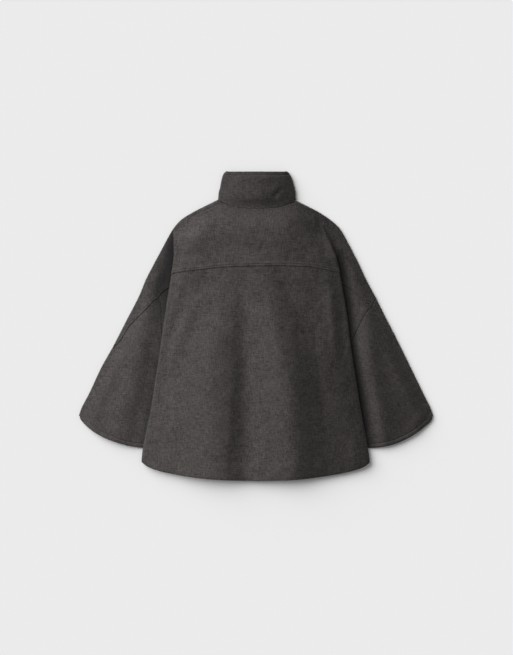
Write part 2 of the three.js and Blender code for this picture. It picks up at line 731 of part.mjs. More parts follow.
// The spots along the collar's band: outer end, right roll, back, left roll, inner end
function collarLine() {
  const flat = (xs, z, lowOf) => xs.map((x) => ({ x, z, low: lowOf(x) }));
  const roll = (side, angles) => angles.map((angle) => ({ side, angle }));
  const turns = [-90, -60, -30, 0, 30, 60, 90];
  const feet = [LEFT, RIGHT].map((side) => frontRow(side, rolled(side, 0, -90).x).slice(1));
  const inner = COLLAR_HALF + COLLAR_CLOTH + COLLAR_GAP;
  return [
    ...flat(feet[1].reverse(), COLLAR_HALF, frontNeckAt),
    ...roll(RIGHT, turns),
    ...flat([...NECK_POINTS].reverse(), NECK_REST, neckAt),
    ...roll(LEFT, [...turns].reverse()),
    ...flat(feet[0].slice(0, -3), COLLAR_HALF, frontNeckAt),
    ...flat(feet[0].slice(-3), inner, frontNeckAt),
  ];
}

// Distance from the centre at which the collar's roll starts, at one height
function collarRollAt(side, y) {
  return lookup(side.collarSide, "up", "across", y) - COLLAR_HALF - COLLAR_RADIUS;
}

// A point of the collar beside its rolls. It moves inwards as the collar narrows towards its top.
function collarFlat(spot, share) {
  const y = mix(spot.low, COLLAR_TOP, share);
  const side = sideOf(spot.x);
  const foot = collarRollAt(side, side.collarSide.up[0]);
  const away = (Math.abs(spot.x) - COLLAR_STRAIGHT_HALF) / (foot - COLLAR_STRAIGHT_HALF);
  const shift = Math.max(0, away) * (foot - collarRollAt(side, y));
  return new THREE.Vector3(spot.x - side.sign * shift, y, spot.z);
}

function collarRolled({ side, angle }, share) {
  const y = mix(rolled(side, 0, angle).y + SEAM_GAP, COLLAR_TOP, share);
  const turn = THREE.MathUtils.degToRad(angle);
  const x = side.sign * (collarRollAt(side, y) + COLLAR_RADIUS * Math.cos(turn));
  return new THREE.Vector3(x, y, COLLAR_HALF + COLLAR_RADIUS * (1 + Math.sin(turn)));
}

// Stand collar: one band round the neck, its two ends lapped at the front
function collar() {
  const sheet = new Sheet();
  const pointAt = (spot, share) => (spot.side ? collarRolled(spot, share) : collarFlat(spot, share));
  const line = collarLine().reverse();
  sheet.grid(steps(COLLAR_ROWS).map((share) => line.map((spot) => pointAt(spot, share))));
  return sheet;
}

prepare(LEFT);
prepare(RIGHT);
LEFT.overlapsInside = true;

const pieces = [
  { name: "collar", sheet: collar(), thickness: COLLAR_CLOTH, material: COLLAR_WOOL },
  { name: "back_yoke", sheet: backYoke() },
  { name: "back_body", sheet: backBody() },
  { name: "sleeve_back_left", sheet: sleeveBack(LEFT) },
  { name: "sleeve_back_right", sheet: sleeveBack(RIGHT) },
  { name: "sleeve_front_left", sheet: sleeveFront(LEFT) },
  { name: "sleeve_front_right", sheet: sleeveFront(RIGHT) },
  { name: "front_left", sheet: front(LEFT) },
  { name: "front_right", sheet: front(RIGHT) },
];

const facing = new Map();
for (const { sheet } of pieces) sheet.addFacing(facing);

const coat = new THREE.Group();
coat.name = "wool_cape_coat";
for (const { name, sheet, thickness = CLOTH, material = WOOL } of pieces) {
  const mesh = new THREE.Mesh(sheet.thickened(thickness, facing), material);
  mesh.name = name;
  coat.add(mesh);
}

export default coat;
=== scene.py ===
# %% [markdown]
# # A wool cape coat, laid flat with its back up
#
# The coat is a set of cloth panels. Each panel is first a grid of points on the middle of its cloth.
# The grid follows the same outline, folds and seams as the coat's plain solids, only finer. Then the
# grid becomes a thin closed shell with rounded edges, and gets the creases that real wool shows.
#
# All garment sizes are in millimetres, because that is how a pattern cutter measures. The last step
# of each panel turns them into metres, Blender's unit.

import math
from types import SimpleNamespace

import bpy
import numpy as np
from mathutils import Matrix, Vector
from mathutils.bvhtree import BVHTree


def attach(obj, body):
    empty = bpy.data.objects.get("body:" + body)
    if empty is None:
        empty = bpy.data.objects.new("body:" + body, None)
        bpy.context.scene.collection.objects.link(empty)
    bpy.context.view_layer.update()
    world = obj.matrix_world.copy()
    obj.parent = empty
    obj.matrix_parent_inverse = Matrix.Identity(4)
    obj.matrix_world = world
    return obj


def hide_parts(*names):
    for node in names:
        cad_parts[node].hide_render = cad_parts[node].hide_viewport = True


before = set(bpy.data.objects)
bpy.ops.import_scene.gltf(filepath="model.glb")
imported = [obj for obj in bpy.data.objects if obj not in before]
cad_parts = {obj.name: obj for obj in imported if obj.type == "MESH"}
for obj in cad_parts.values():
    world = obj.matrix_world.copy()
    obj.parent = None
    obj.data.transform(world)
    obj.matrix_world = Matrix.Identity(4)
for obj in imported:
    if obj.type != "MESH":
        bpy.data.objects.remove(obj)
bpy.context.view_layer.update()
MM = 0.001

# %% [markdown]
# ## Sizes of the cloth and of the folds
#
# A coat that lies flat is a stack of layers. The front lies on the table, the sleeve's upper layer
# lies on that, and the torso's side is folded back over the sleeve. The numbers below say how thick
# the cloth is and how high the middle of each layer lies.
#
# One could drop a flat pattern onto a table in a cloth simulation instead. But the folds of this one
# coat are known, and a simulation would lay it down in its own way. So each layer is placed by height.

# %% Thickness of the cloth and heights of its layers
# The cloth and the gaps between pieces
CLOTH = 2.5
COLLAR_CLOTH = 3.0
SEAM_GAP = 0.3
LAY_GAP = 0.4
HALF = CLOTH / 2

# Heights of the middle of the cloth
FIRST_LAYER = HALF
SECOND_LAYER = FIRST_LAYER + CLOTH + LAY_GAP
BACK_REST = 12.6
NECK_REST = 9.6
SLEEVE_EDGE_REST = 4.95
print("middle of the cloth at", FIRST_LAYER, SECOND_LAYER, "and", BACK_REST, "mm")

# %% [markdown]
# ## The outline as short tables
#
# Each side of the coat has its own tables, since a coat is never laid down quite evenly. "up" is the
# distance above the coat's middle, "across" the distance from the centre back. A smooth curve goes
# through the rows of each table.
#
# The outline could be traced with a curve object by hand. A table with a few measured rows can be
# read and changed like a pattern, and the same numbers serve the outline, the folds and the seams.

# %% Tables of the left side
LEFT = SimpleNamespace(
    name="left",
    sign=-1,
    laps_inside=True,
    outline={
        "up": [322.8, 312, 292, 271, 251, 230, 200, 159, 118, 77, 15, -46, -107, -169, -210, -230],
        "across": [97.4, 119, 159, 192, 210, 223, 239, 261, 282, 299, 331, 362, 396, 425, 446, 453],
    },
    cuff={
        "up": [-230, -241, -261, -282, -302, -311, -312],
        "across": [453, 447, 427, 395, 342, 297, 259],
    },
    torso={
        "up": [260, 243, 189, 148, 67, -56, -138, -220, -302, -343, -360],
        "across": [214, 212.5, 210, 214, 227, 244.5, 257, 270, 287, 292, 293],
    },
    fold={
        "up": [246, 232, 222, 205, 134, 0, -90, -360],
        "turn": [0, 60, 120, 180, 180, 180, 180, 180],
        "tuck": [1, 1, 1, 1, 8, 16, 22, 25],
    },
    armhole_top={"up": [113, 91, 71], "across": [282, 266.5, 249]},
    armhole_low={
        "up": [71, 56, 28, 0, -40, -70, -90],
        "across": [249, 243, 242, 241, 237, 229, 222.5],
    },
    yoke_end={"up": [71, 86.5, 96.5, 106], "across": [249, 238, 222, 206]},
    sleeve_seam={
        "up": [-56, -44, -6, 20, 44, 64, 71],
        "across": [366, 351, 327, 303, 279, 261, 249],
    },
    yoke_seam={
        "across": [0, 68, 103, 139, 174, 208],
        "up": [152, 150, 147.5, 143, 139.5, 134],
    },
    front_armhole={"up": [113, 60, 0, -50, -90], "across": [282, 262, 242, 230, 222.5]},
    # Painted shade beside the torso's folded edge: its strength and how far it reaches
    painted_shade={
        "up": [250, 225, 190, 150, 100, 50, 0, -60, -160, -320],
        "amount": [0, 0.62, 0.78, 0.8, 0.76, 0.5, 0.35, 0.3, 0.35, 0.3],
        "reach": [14, 24, 40, 56, 70, 66, 44, 26, 20, 20],
    },
    margin={"up": [250, 200, 60, -360], "amount": [0, 0.5, 0.6, 0.85]},
    neck={"across": [0, 41, 82, 97], "up": [300, 302, 314, 323.5]},
    collar_side={
        "up": [324, 343, 353, 363, 374, 384, 392, 395.8],
        "across": [97, 95, 92, 90.5, 88, 85, 80, 74],
    },
)
print("the left side reaches", max(LEFT.outline["across"]), "mm from the centre back")

# %% Tables of the right side, and the hem
RIGHT = SimpleNamespace(
    name="right",
    sign=1,
    laps_inside=False,
    outline={
        "up": [321, 312.5, 292, 271, 251, 230, 200, 159, 118, 77, 15, -46, -107, -169, -210, -230],
        "across": [102, 119, 159, 191, 213, 226, 242, 263, 282, 304, 335, 366, 396, 426, 446, 453],
    },
    cuff={
        "up": [-230, -241, -261, -282, -302, -311, -312],
        "across": [453, 449, 427, 397, 354, 307, 262],
    },
    torso={
        "up": [290, 251, 210, 169, 107, 26, -56, -138, -220, -302, -343, -360],
        "across": [172, 176, 192, 207, 219, 233, 243, 256, 269, 284, 290, 291],
    },
    fold={
        "up": [262, 235, 210, 190, 165, 134, 0, -100, -360],
        "turn": [0, 35, 80, 120, 180, 180, 180, 180, 180],
        "tuck": [1, 1, 1, 1, 3, 7, 17, 23, 25],
    },
    armhole_top={"up": [69, 64, 48], "across": [307, 303, 296]},
    armhole_low={
        "up": [48, 33, 5, -24, -41, -72, -100],
        "across": [296, 282, 266, 253, 246, 232, 222.5],
    },
    yoke_end={"up": [48, 66, 89, 102, 112], "across": [296, 275, 249, 228, 208.5]},
    sleeve_seam={
        "up": [-28, -20, -10, 12, 33, 42, 48],
        "across": [352, 347, 338, 320, 304, 299, 296],
    },
    yoke_seam={
        "across": [0, 57, 111, 137, 164, 193, 209],
        "up": [152, 153, 151, 150, 145, 139.5, 136.5],
    },
    front_armhole={"up": [69, 30, -20, -65, -100], "across": [307, 270, 245, 232, 221.8]},
    # Painted shade beside the torso's folded edge: its strength and how far it reaches
    painted_shade={
        "up": [262, 220, 150, 60, 0, -100, -200, -320],
        "amount": [0, 0.4, 0.78, 0.74, 0.66, 0.72, 0.74, 0.5],
        "reach": [14, 18, 26, 26, 24, 28, 34, 30],
    },
    margin={"up": [0, -120, -360], "amount": [0, 0.6, 0.85]},
    neck={"across": [0, 49, 87, 102], "up": [300, 302, 313, 321]},
    collar_side={
        "up": [321.5, 343, 353, 363, 374, 384, 392, 395.8],
        "across": [101.5, 101, 99, 96, 93, 88.5, 83, 77],
    },
)

SIDES = (LEFT, RIGHT)
HEM = {"across": [0, 112, 205, 260, 280, 293], "up": [-395.6, -391, -379, -366, -357, -346]}
print("the right side reaches", max(RIGHT.outline["across"]), "mm, the hem lies at", HEM["up"][0], "mm")

# %% [markdown]
# ## Reading the tables smoothly
#
# `lookup` bends a smooth line through the rows of a table. A straight line between rows would leave
# small corners that a soft cloth doesn't have. `Curve` does the same for an outline in the plane,
# and keeps the distance along it, so that points can be spread evenly. Blender's own curves could do
# this too, but here the points are needed as plain numbers, before any object is made.

# %% Mixing, easing and reading a table
def mix(low, high, share):
    return low + (high - low) * share


def smooth(value, low, high):
    """Zero below low, one above high, and an eased change between."""
    share = np.clip((value - low) / (high - low), 0, 1)
    return share * share * (3 - 2 * share)


def lookup(table, source, target, value):
    """A monotone cubic through the table, flat outside its ends."""
    xs = np.array(table[source], float)
    ys = np.array(table[target], float)
    if xs[0] > xs[-1]:
        xs, ys = xs[::-1], ys[::-1]
    slopes = np.diff(ys) / np.diff(xs)
    tangents = np.concatenate([[slopes[0]], (slopes[:-1] + slopes[1:]) / 2, [slopes[-1]]])
    turning = np.concatenate([[False], slopes[:-1] * slopes[1:] <= 0, [False]])
    tangents[turning] = 0
    limit = 3 * np.minimum(np.abs(np.append(slopes, slopes[-1])), np.abs(np.append(slopes[0], slopes)))
    tangents = np.clip(tangents, -limit, limit)
    value = np.clip(np.asarray(value, float), xs[0], xs[-1])
    i = np.clip(np.searchsorted(xs, value) - 1, 0, len(xs) - 2)
    width = xs[i + 1] - xs[i]
    t = (value - xs[i]) / width
    low = ys[i] * (1 + 2 * t) * (1 - t) ** 2 + tangents[i] * width * t * (1 - t) ** 2
    high = ys[i + 1] * (3 - 2 * t) * t ** 2 + tangents[i + 1] * width * t ** 2 * (t - 1)
    return low + high


print("half width of the back at its middle:", [float(lookup(s.torso, "up", "across", 0)) for s in SIDES])

# %% A smooth line through points in the plane
CURVE_STEPS = 24
ALONG_STEP = 0.002
HALVINGS = 40


class Curve:
    """A smooth line through the rows of a table, measured along its length."""

    def __init__(self, side, table):
        spots = np.column_stack([side.sign * np.array(table["across"], float), table["up"]])
        ends = [2 * spots[0] - spots[1], *spots, 2 * spots[-1] - spots[-2]]
        line = []
        for a, b, c, d in zip(ends, ends[1:], ends[2:], ends[3:]):
            steps = np.linspace(0, 1, CURVE_STEPS, endpoint=False)
            line += [self.between(a, b, c, d, t) for t in steps]
        self.line = np.array([*line, spots[-1]])
        lengths = np.linalg.norm(np.diff(self.line, axis=0), axis=1)
        self.place = np.concatenate([[0], np.cumsum(lengths)]) / lengths.sum()

    @staticmethod
    def between(a, b, c, d, t):
        """The centripetal spline from b to c."""
        knots = np.cumsum([0] + [np.linalg.norm(q - p) ** 0.5 for p, q in ((a, b), (b, c), (c, d))])
        at = mix(knots[1], knots[2], t)

        def blend(p, q, start, end):
            return p * (end - at) / (end - start) + q * (at - start) / (end - start)

        first = blend(a, b, knots[0], knots[1])
        second = blend(b, c, knots[1], knots[2])
        third = blend(c, d, knots[2], knots[3])
        left = blend(first, second, knots[0], knots[2])
        right = blend(second, third, knots[1], knots[3])
        return blend(left, right, knots[1], knots[2])

    def at(self, place):
        """Points at shares of the length, from 0 to 1."""
        place = np.asarray(place, float)
        return np.stack([np.interp(place, self.place, self.line[:, k]) for k in (0, 1)], axis=-1)

    def along(self, place):
        """The line's direction, one unit long."""
        ahead, behind = (np.clip(place + step, 0, 1) for step in (ALONG_STEP, -ALONG_STEP))
        way = self.at(ahead) - self.at(behind)
        return way / np.linalg.norm(way, axis=-1, keepdims=True)

    def place_where(self, still_before):
        """Halves the line again and again, to find where a test on its points turns false."""
        low, high = 0.0, 1.0
        for _ in range(HALVINGS):
            middle = (low + high) / 2
            low, high = (middle, high) if still_before(self.at(middle)) else (low, middle)
        return (low + high) / 2


print("a cuff as a smooth line has", len(Curve(LEFT, LEFT.cuff).line), "points")

# %% [markdown]
# ## The rolled outer edge and the fold at the torso's side
#
# At the outline the upper layer rolls over into the lower one. `rolled` gives points of that roll:
# 90 degrees is its top, 0 its outermost line, -90 its foot on the table.
#
# The fold at the torso's side is made of two bends with a straight part between them. Each bend turns
# by the same angle. At the shoulder the angle is zero, so the cloth is flat. Further down it grows to
# 180 degrees, and the torso lies over the sleeve. The bends keep their radius, as thick wool does.
#
# A Simple Deform modifier can bend a sheet by one angle. Here the angle changes down the side, so the
# cross-section of the fold is a formula of two arcs, read anew at each height.

# %% The rolled outer edge
TOP_OF_ROLL = 90
FOOT_OF_ROLL = -90
COLLAR_FOOT_HALF = 97
SHOULDER_FALL = (COLLAR_FOOT_HALF, 200)


def edge_height(across):
    return mix(NECK_REST, SLEEVE_EDGE_REST, smooth(np.abs(across), *SHOULDER_FALL))


def rolled(side, place, degrees):
    """Points on the rolled edge, for one place or many, at one angle."""
    point = side.outline_curve.at(place)
    along = side.outline_curve.along(place)
    outward = np.stack([-side.sign * along[..., 1], side.sign * along[..., 0]], axis=-1)
    radius = (edge_height(point[..., 0]) - FIRST_LAYER) / 2
    angle = math.radians(degrees)
    shift = radius * (math.cos(angle) - 1) - HALF
    flat = point + outward * shift[..., None]
    height = FIRST_LAYER + radius * (1 + math.sin(angle))
    return np.concatenate([flat, height[..., None]], axis=-1)


def inset(side, place):
    """Points on the top of the rolled edge."""
    return rolled(side, place, TOP_OF_ROLL)


def at_collar(side, degrees):
    """The point of the rolled edge where the outline meets the collar."""
    return rolled(side, np.array([0.0]), degrees)[0]


print("the rolled edge is", NECK_REST, "mm high at the neck and", SLEEVE_EDGE_REST, "mm at the cuff")

# %% The fold at the torso's side
TUCK_RADIUS = 1.9
EDGE_RADIUS = 3.2
TUCK_STEPS = 6
EDGE_STEPS = 12
LAST_NODE = TUCK_STEPS + EDGE_STEPS + 1
TOP_FALL = 50


def tuck_height(side, up):
    """Height of the fold's foot: it leaves the rolled edge at the top and comes to rest below."""
    away = smooth(side.fold_top[1] - up, 0, TOP_FALL)
    return mix(edge_height(side.fold_top[0]), SECOND_LAYER, away)


def fold_section(side, up):
    """Distance across and height of every line of the fold, for one height or many."""
    up = np.asarray(up, float)
    turn = np.radians(lookup(side.fold, "up", "turn", up))
    tuck = lookup(side.fold, "up", "tuck", up)
    crest = lookup(side.torso, "up", "across", up) - HALF - EDGE_RADIUS
    foot = crest + (TUCK_RADIUS + EDGE_RADIUS) * np.sin(turn) + tuck * np.cos(turn)
    low = tuck_height(side, up)
    high = low + (TUCK_RADIUS + EDGE_RADIUS) * (1 - np.cos(turn)) + tuck * np.sin(turn)
    across, height = [], []
    for share in np.linspace(0, 1, TUCK_STEPS + 1):
        across.append(foot - TUCK_RADIUS * np.sin(turn * share))
        height.append(low + TUCK_RADIUS * (1 - np.cos(turn * share)))
    for share in np.linspace(1, 0, EDGE_STEPS + 1):
        across.append(crest + EDGE_RADIUS * np.sin(turn * share))
        height.append(high - EDGE_RADIUS * (1 - np.cos(turn * share)))
    return np.stack(across, axis=-1), np.stack(height, axis=-1)


def fold_points(side, node, up):
    """Points of one line of the fold. Below the underarm its lowest bend belongs to no panel."""
    up = np.asarray(up, float)
    across, height = fold_section(side, up)
    kept = np.where((up < side.underarm) & (node < TUCK_STEPS), TUCK_STEPS, node)
    rows = np.arange(len(up))
    return np.column_stack([side.sign * across[rows, kept], up, height[rows, kept]])


print("a fold has", LAST_NODE + 1, "lines side by side")

# %% The back's height, with the two flutes that fall from the shoulder blades
FLUTES = (
    {"top": -98, "hem": -120, "width": 60, "height": 11},
    {"top": 66, "hem": 90, "width": 56, "height": 10},
)
FLUTE_START = 100
FLUTE_FULL = -140
NECK_RISE = (220, 300)
EDGE_FALL = 95


def flute_height(x, y):
    share = smooth(FLUTE_START - y, 0, FLUTE_START - FLUTE_FULL)
    height = np.zeros(np.broadcast(x, y).shape)
    for flute in FLUTES:
        crest = mix(flute["top"], flute["hem"], share)
        height += flute["height"] * share * np.exp(-(((x - crest) / flute["width"]) ** 2))
    return height


def torso_height(x, y):
    middle = mix(BACK_REST, NECK_REST, smooth(y, *NECK_RISE)) + flute_height(x, y)
    height = middle
    for side in SIDES:
        across, high = fold_section(side, y)
        inward = np.maximum(0, across[..., LAST_NODE] - side.sign * x)
        height = height + (high[..., LAST_NODE] - middle) * (1 - smooth(inward, 0, EDGE_FALL))
    return height


print("the left flute is", round(float(flute_height(-120, HEM["up"][0])), 1), "mm high at the hem")

# %% Places that several panels share
FOLD_CLEAR = 1


def prepare(side):
    """Places and heights that several panels of one side share."""
    curve = side.outline_curve = Curve(side, side.outline)
    side.underarm = side.armhole_low["up"][-1]
    reach = side.torso["across"][0] - HALF
    side.fold_top = curve.at(curve.place_where(lambda spot: abs(spot[0]) < reach))
    side.fold_places = []
    for limit in fold_section(side, side.fold_top[1])[0]:
        place = curve.place_where(lambda spot: abs(spot[0]) - HALF - FOLD_CLEAR < limit)
        side.fold_places.append(place)
    side.armhole_place = curve.place_where(lambda spot: spot[1] > side.armhole_top["up"][0])
    side.seam_place = curve.place_where(lambda spot: spot[1] > side.sleeve_seam["up"][0])


for one in SIDES:
    prepare(one)
print("fold tops at", [np.round(one.fold_top, 1).tolist() for one in SIDES])

# %% [markdown]
# ## Creases and uneven cloth
#
# Real cloth is never quite flat. A crease is a soft ridge or trough along a line from one point to
# another, and a trough has a height below zero. `waves` adds up a few smooth waves with random
# directions, always the same ones because the seed is fixed. Both fade out towards the folds and the
# rolled edge, where the cloth is held.
#
# Sculpting, or a Displace modifier with a noise texture, is the usual way. Tables keep each crease
# readable, and numbers make it easy to let the unevenness fade where it has to.

# %% The largest creases, listed one by one
# Columns: start x, start y, end x, end y, width, height
TORSO_CREASES = (
    (-186, 60, -236, -80, 13, -2.6),
    (-160, 40, -214, -90, 17, 2.2),
    (70, 108, 118, 15, 19, -2.0),
    (124, 15, 176, -250, 28, -3.4),
    (186, 100, 206, -60, 14, 2.2),
    (-30, 90, -22, -380, 30, -4.2),
    (-60, -120, -92, -390, 20, 1.6),
    (40, 70, 60, -120, 22, 2.4),
    (150, 250, 190, 165, 14, -2.0),
    (-120, 262, -178, 196, 22, 1.8),
    (70, 236, 138, 200, 26, 0.8),
    (-168, -210, -184, -390, 24, 1.9),
    (-70, 205, 40, 188, 24, -1.3),
    (198, -110, 226, -330, 24, -1.4),
    (-188, -160, -224, -345, 23, 3.0),
    (-150, 250, -170, 120, 40, 3.0),
)
SLEEVE_CREASES = (
    (-300, -40, -352, -268, 26, 3.6),
    (-352, -70, -420, -210, 24, 2.2),
    (-270, -10, -288, -180, 16, 1.6),
    (-250, 190, -262, 100, 14, 1.4),
    (282, -30, 330, -270, 26, 2.6),
    (340, -60, 412, -205, 26, 2.0),
    (264, -40, 286, -200, 14, 1.8),
    (214, 210, 258, 118, 18, 1.6),
)
COLLAR_CREASES = (
    (46, 328, 62, 348, 7, -1.1),
    (62, 348, 88, 345, 7, -0.9),
    (40, 338, 56, 356, 8, 0.8),
    (-60, 330, -38, 372, 14, 0.7),
    (-92, 340, 98, 342, 16, 0.8),
)
print(len(TORSO_CREASES), "creases on the back,", len(SLEEVE_CREASES), "on the sleeves")

# %% Random waves
rng = np.random.default_rng(7)


def random_waves(count, shortest, longest):
    """Wave numbers, phases and strengths of a gentle uneven surface."""
    length = rng.uniform(shortest, longest, count)
    angle = rng.uniform(0, 2 * math.pi, count)
    way = np.column_stack([np.cos(angle), np.sin(angle)]) * (2 * math.pi / length)[:, None]
    return way, rng.uniform(0, 2 * math.pi, count), length / longest


BROAD_WAVES = random_waves(14, 60, 190)
FINE_WAVES = random_waves(18, 16, 44)
BROAD_STRENGTH = 0.9
FINE_STRENGTH = 0.24


def waves(kind, x, y):
    """The height of all waves of one kind, added up."""
    ways, phases, strengths = kind
    height = np.zeros(np.broadcast(x, y).shape)
    for way, phase, strength in zip(ways, phases, strengths):
        height += strength * np.sin(way[0] * x + way[1] * y + phase)
    return height / math.sqrt(len(ways))


def uneven(x, y):
    return BROAD_STRENGTH * waves(BROAD_WAVES, x, y) + FINE_STRENGTH * waves(FINE_WAVES, x, y)


print("at the centre the waves add", round(float(uneven(0, 0)), 2), "mm")

# %% The back's creases
CREASE_FADE = (-0.35, 0.25)
TORSO_DOME = 4.5
TORSO_DOME_HALF = 232
DRAPE_EASE = 22


def creases(table, x, y):
    """The height of all creases of one table. Each fades out at both ends of its line."""
    height = np.zeros(np.broadcast(x, y).shape)
    for x0, y0, x1, y1, width, rise in table:
        length = math.hypot(x1 - x0, y1 - y0)
        way = ((x1 - x0) / length, (y1 - y0) / length)
        along = (x - x0) * way[0] + (y - y0) * way[1]
        beside = (y - y0) * way[0] - (x - x0) * way[1]
        before, after = (share * length for share in CREASE_FADE)
        ends = smooth(along, before, after) * smooth(length - along, before, after)
        height += rise * ends * np.exp(-((beside / width) ** 2))
    return height


def torso_drape(x, y):
    """Creases and waves of the torso, fading out at its two folded sides."""
    height = creases(TORSO_CREASES, x, y) + uneven(x, y)
    height = height + TORSO_DOME * np.maximum(0, 1 - (x / TORSO_DOME_HALF) ** 2)
    for side in SIDES:
        across, _ = fold_section(side, y)
        height = height * smooth(across[..., LAST_NODE] - side.sign * x, 0, DRAPE_EASE)
    return height


print("at the centre the back's drape adds", round(float(torso_drape(0, 0)), 2), "mm")

# %% The sleeves' height and creases
SLEEVE_LOFT = 5.5
LOFT_INSIDE = (26, 80)
LOFT_OUTSIDE = (0, 46)
LEAST_LIFT = 0.1


def sleeve_heights(side, x, y):
    """Height of the sleeve's upper layer with its creases, for points in the plane."""
    across, _ = fold_section(side, y)
    edge = lookup(side.outline, "up", "across", y) - HALF
    inside = np.abs(x) - across[..., 0]
    share = np.clip(inside / np.maximum(edge - across[..., 0], 1), 0, 1)
    height = mix(tuck_height(side, y), edge_height(x), share)
    free = smooth(inside, *LOFT_INSIDE) * smooth(edge - np.abs(x), *LOFT_OUTSIDE)
    lift = SLEEVE_LOFT + creases(SLEEVE_CREASES, x, y) + uneven(x, y)
    return height + free * np.maximum(lift, LEAST_LIFT)


def on_sleeve(side, spots):
    """Lifts points in the plane onto the sleeve's upper layer."""
    return np.column_stack([spots[:, 0], spots[:, 1], sleeve_heights(side, spots[:, 0], spots[:, 1])])


print("the left sleeve is", round(float(sleeve_heights(LEFT, -330, -100)), 1), "mm high at its middle")

# %% [markdown]
# ## From grids to a closed shell of cloth
#
# A `Panel` gathers grids. Points that two grids share are stored once, so the cloth has no cracks.
# Panels that are sewn together share the points of their seam too. `facings` therefore adds up which
# way the cloth faces over all panels, and both sides of a seam end at the same slope.
#
# `shell` makes the solid: the outer skin, the inner skin and a flatly rounded rim between them. The
# rim is what a cut or sewn edge of thick wool looks like. Relief is added on the outer skin only, and
# only where it faces up: a seam that is pressed to one side stands a little above the cloth beside it.
#
# A Solidify modifier gives a sheet its thickness too. But its rim is square, and sewn neighbours
# wouldn't share a slope, so the shell is built from numbers here.
#
# The material reads two values that each point carries. "nap" is the way the brushed hairs stand, and
# the second one is painted shade: how much the colour is darkened in the narrow space beside the torso's
# folded edge.

# %% A panel of cloth
POINTS_PER_MM = 100
TORSO_LEAN_HALF = 0.2


class Panel:
    """One piece of cloth as grids of points, with its seams' relief and its stitched lines."""

    def __init__(self, name, thickness=CLOTH, lean_half=TORSO_LEAN_HALF):
        self.name = name
        self.thickness = thickness
        self.lean_half = lean_half
        self.points = []
        self.faces = []
        self.found = {}
        self.reliefs = []
        self.stitching = []

    def index(self, point):
        """Number of a point. Points closer than about 0.01 mm are one."""
        key = tuple(np.round(np.asarray(point) * POINTS_PER_MM).astype(int))
        if key not in self.found:
            self.found[key] = len(self.points)
            self.points.append(point)
        return self.found[key]

    def grid(self, rows):
        """Adds rows of points and the faces between them."""
        indices = [[self.index(point) for point in row] for row in rows]
        for low, high in zip(indices, indices[1:]):
            for a, b, c, d in zip(low, low[1:], high[1:], high):
                corners = list(dict.fromkeys((a, b, c, d)))
                if len(corners) >= 3:
                    self.faces.append(corners)

    def border(self):
        """Edges that only one face has."""
        edges = {}
        for face in self.faces:
            for start, end in zip(face, face[1:] + face[:1]):
                edges[(start, end)] = True
        return [edge for edge in edges if (edge[1], edge[0]) not in edges]

    def face_ways(self):
        """The direction in which each face looks, as long as twice its area."""
        points = np.array(self.points)
        ways = []
        for face in self.faces:
            corners = points[face]
            last = corners[3] if len(face) > 3 else corners[0]
            ways.append(np.cross(corners[2] - corners[0], last - corners[1]))
        return np.array(ways)

    def add_facing(self, facings):
        """Adds the facing of this panel's faces to a sum that all panels share."""
        keys = {i: key for key, i in self.found.items()}
        for face, way in zip(self.faces, self.face_ways()):
            for i in face:
                facings[keys[i]] = facings.get(keys[i], 0) + way

    def relief(self):
        """Height of all seams and hems at each point."""
        points = np.array(self.points)
        height = np.zeros(len(points))
        for line, profile in self.reliefs:
            height += profile(distance_to_line(points, np.asarray(line)))
        return height

    def counted(self):
        """Prints how large the panel is, and gives it back."""
        print(self.name, len(self.points), "points", len(self.faces), "faces")
        return self


print("points closer than", 1 / POINTS_PER_MM, "mm are one")

# %% Distance from a seam, and the way out of the cloth
FAR = 1e9
TINY = 1e-9
LEAST_TURN = 0.6


def distance_to_line(points, line):
    """Distance from each point to the nearest point on a chain of straight parts."""
    nearest = np.full(len(points), FAR)
    for start, end in zip(line, line[1:]):
        way = end - start
        size = way @ way
        if size < TINY:
            continue
        share = np.clip((points - start) @ way / size, 0, 1)
        nearest = np.minimum(nearest, np.linalg.norm(points - start - share[:, None] * way, axis=1))
    return nearest


def border_ways(panel, points, facing):
    """For each border point, the direction out of the cloth along it, and the stretch at a corner."""
    ways = {}
    for start, end in panel.border():
        along = points[end] - points[start]
        along = along / np.linalg.norm(along)
        for i in (start, end):
            ways.setdefault(i, []).append(np.cross(along, facing[i]))
    outward = {}
    for i, found in ways.items():
        way = sum(found)
        way = way / np.linalg.norm(way)
        first = found[0] / np.linalg.norm(found[0])
        outward[i] = (way, 1 / max(LEAST_TURN, float(way @ first)))
    return outward


print("a corner stretches its border at most", round(1 / LEAST_TURN, 2), "times")

# %% Which way the nap lies
NAP_TILT = 2.6
NAP_LEAN = 0.44
NAP_ON_RIM = 0.3
MARGIN = (14, 62)


def margin_at(places):
    """How much more the hairs lean beside the torso's folded edges, where the cloth turns down."""
    x, y, _ = places.T / MM
    more = np.zeros(len(places))
    for side in SIDES:
        inside = lookup(side.torso, "up", "across", y) - side.sign * x
        near = (1 - smooth(inside, *MARGIN)) * (inside > 0)
        more += lookup(side.margin, "up", "amount", y) * near
    return more


def add_attribute(mesh, name, kind, key, values):
    """Stores one value at each point of the mesh, for the material to read."""
    mesh.attributes.new(name, kind, "POINT").data.foreach_set(key, values)


def add_nap(mesh, places, lean_half, rims):
    """Which way the brushed hairs stand. They lean over further than the cloth beneath them, and
    towards the coat's sides, as they do on a body. Along a rim they lean out less than the rim."""
    ways = np.empty(len(mesh.vertices) * 3)
    mesh.vertices.foreach_get("normal", ways)
    ways = ways.reshape(-1, 3)
    for i, facing in rims.items():
        ways[i] = mix(facing, ways[i], NAP_ON_RIM)
    ways = ways * (NAP_TILT, NAP_TILT, 1)
    lean = np.clip(places[:, 0] / lean_half, -1, 1) * (1 + margin_at(places))
    ways[:, 0] += NAP_LEAN * lean * np.maximum(0, ways[:, 2])
    ways = ways / np.linalg.norm(ways, axis=1, keepdims=True)
    add_attribute(mesh, "nap", "FLOAT_VECTOR", "vector", ways.ravel())


print("the nap leans over", NAP_TILT, "times as far as the cloth beneath it")
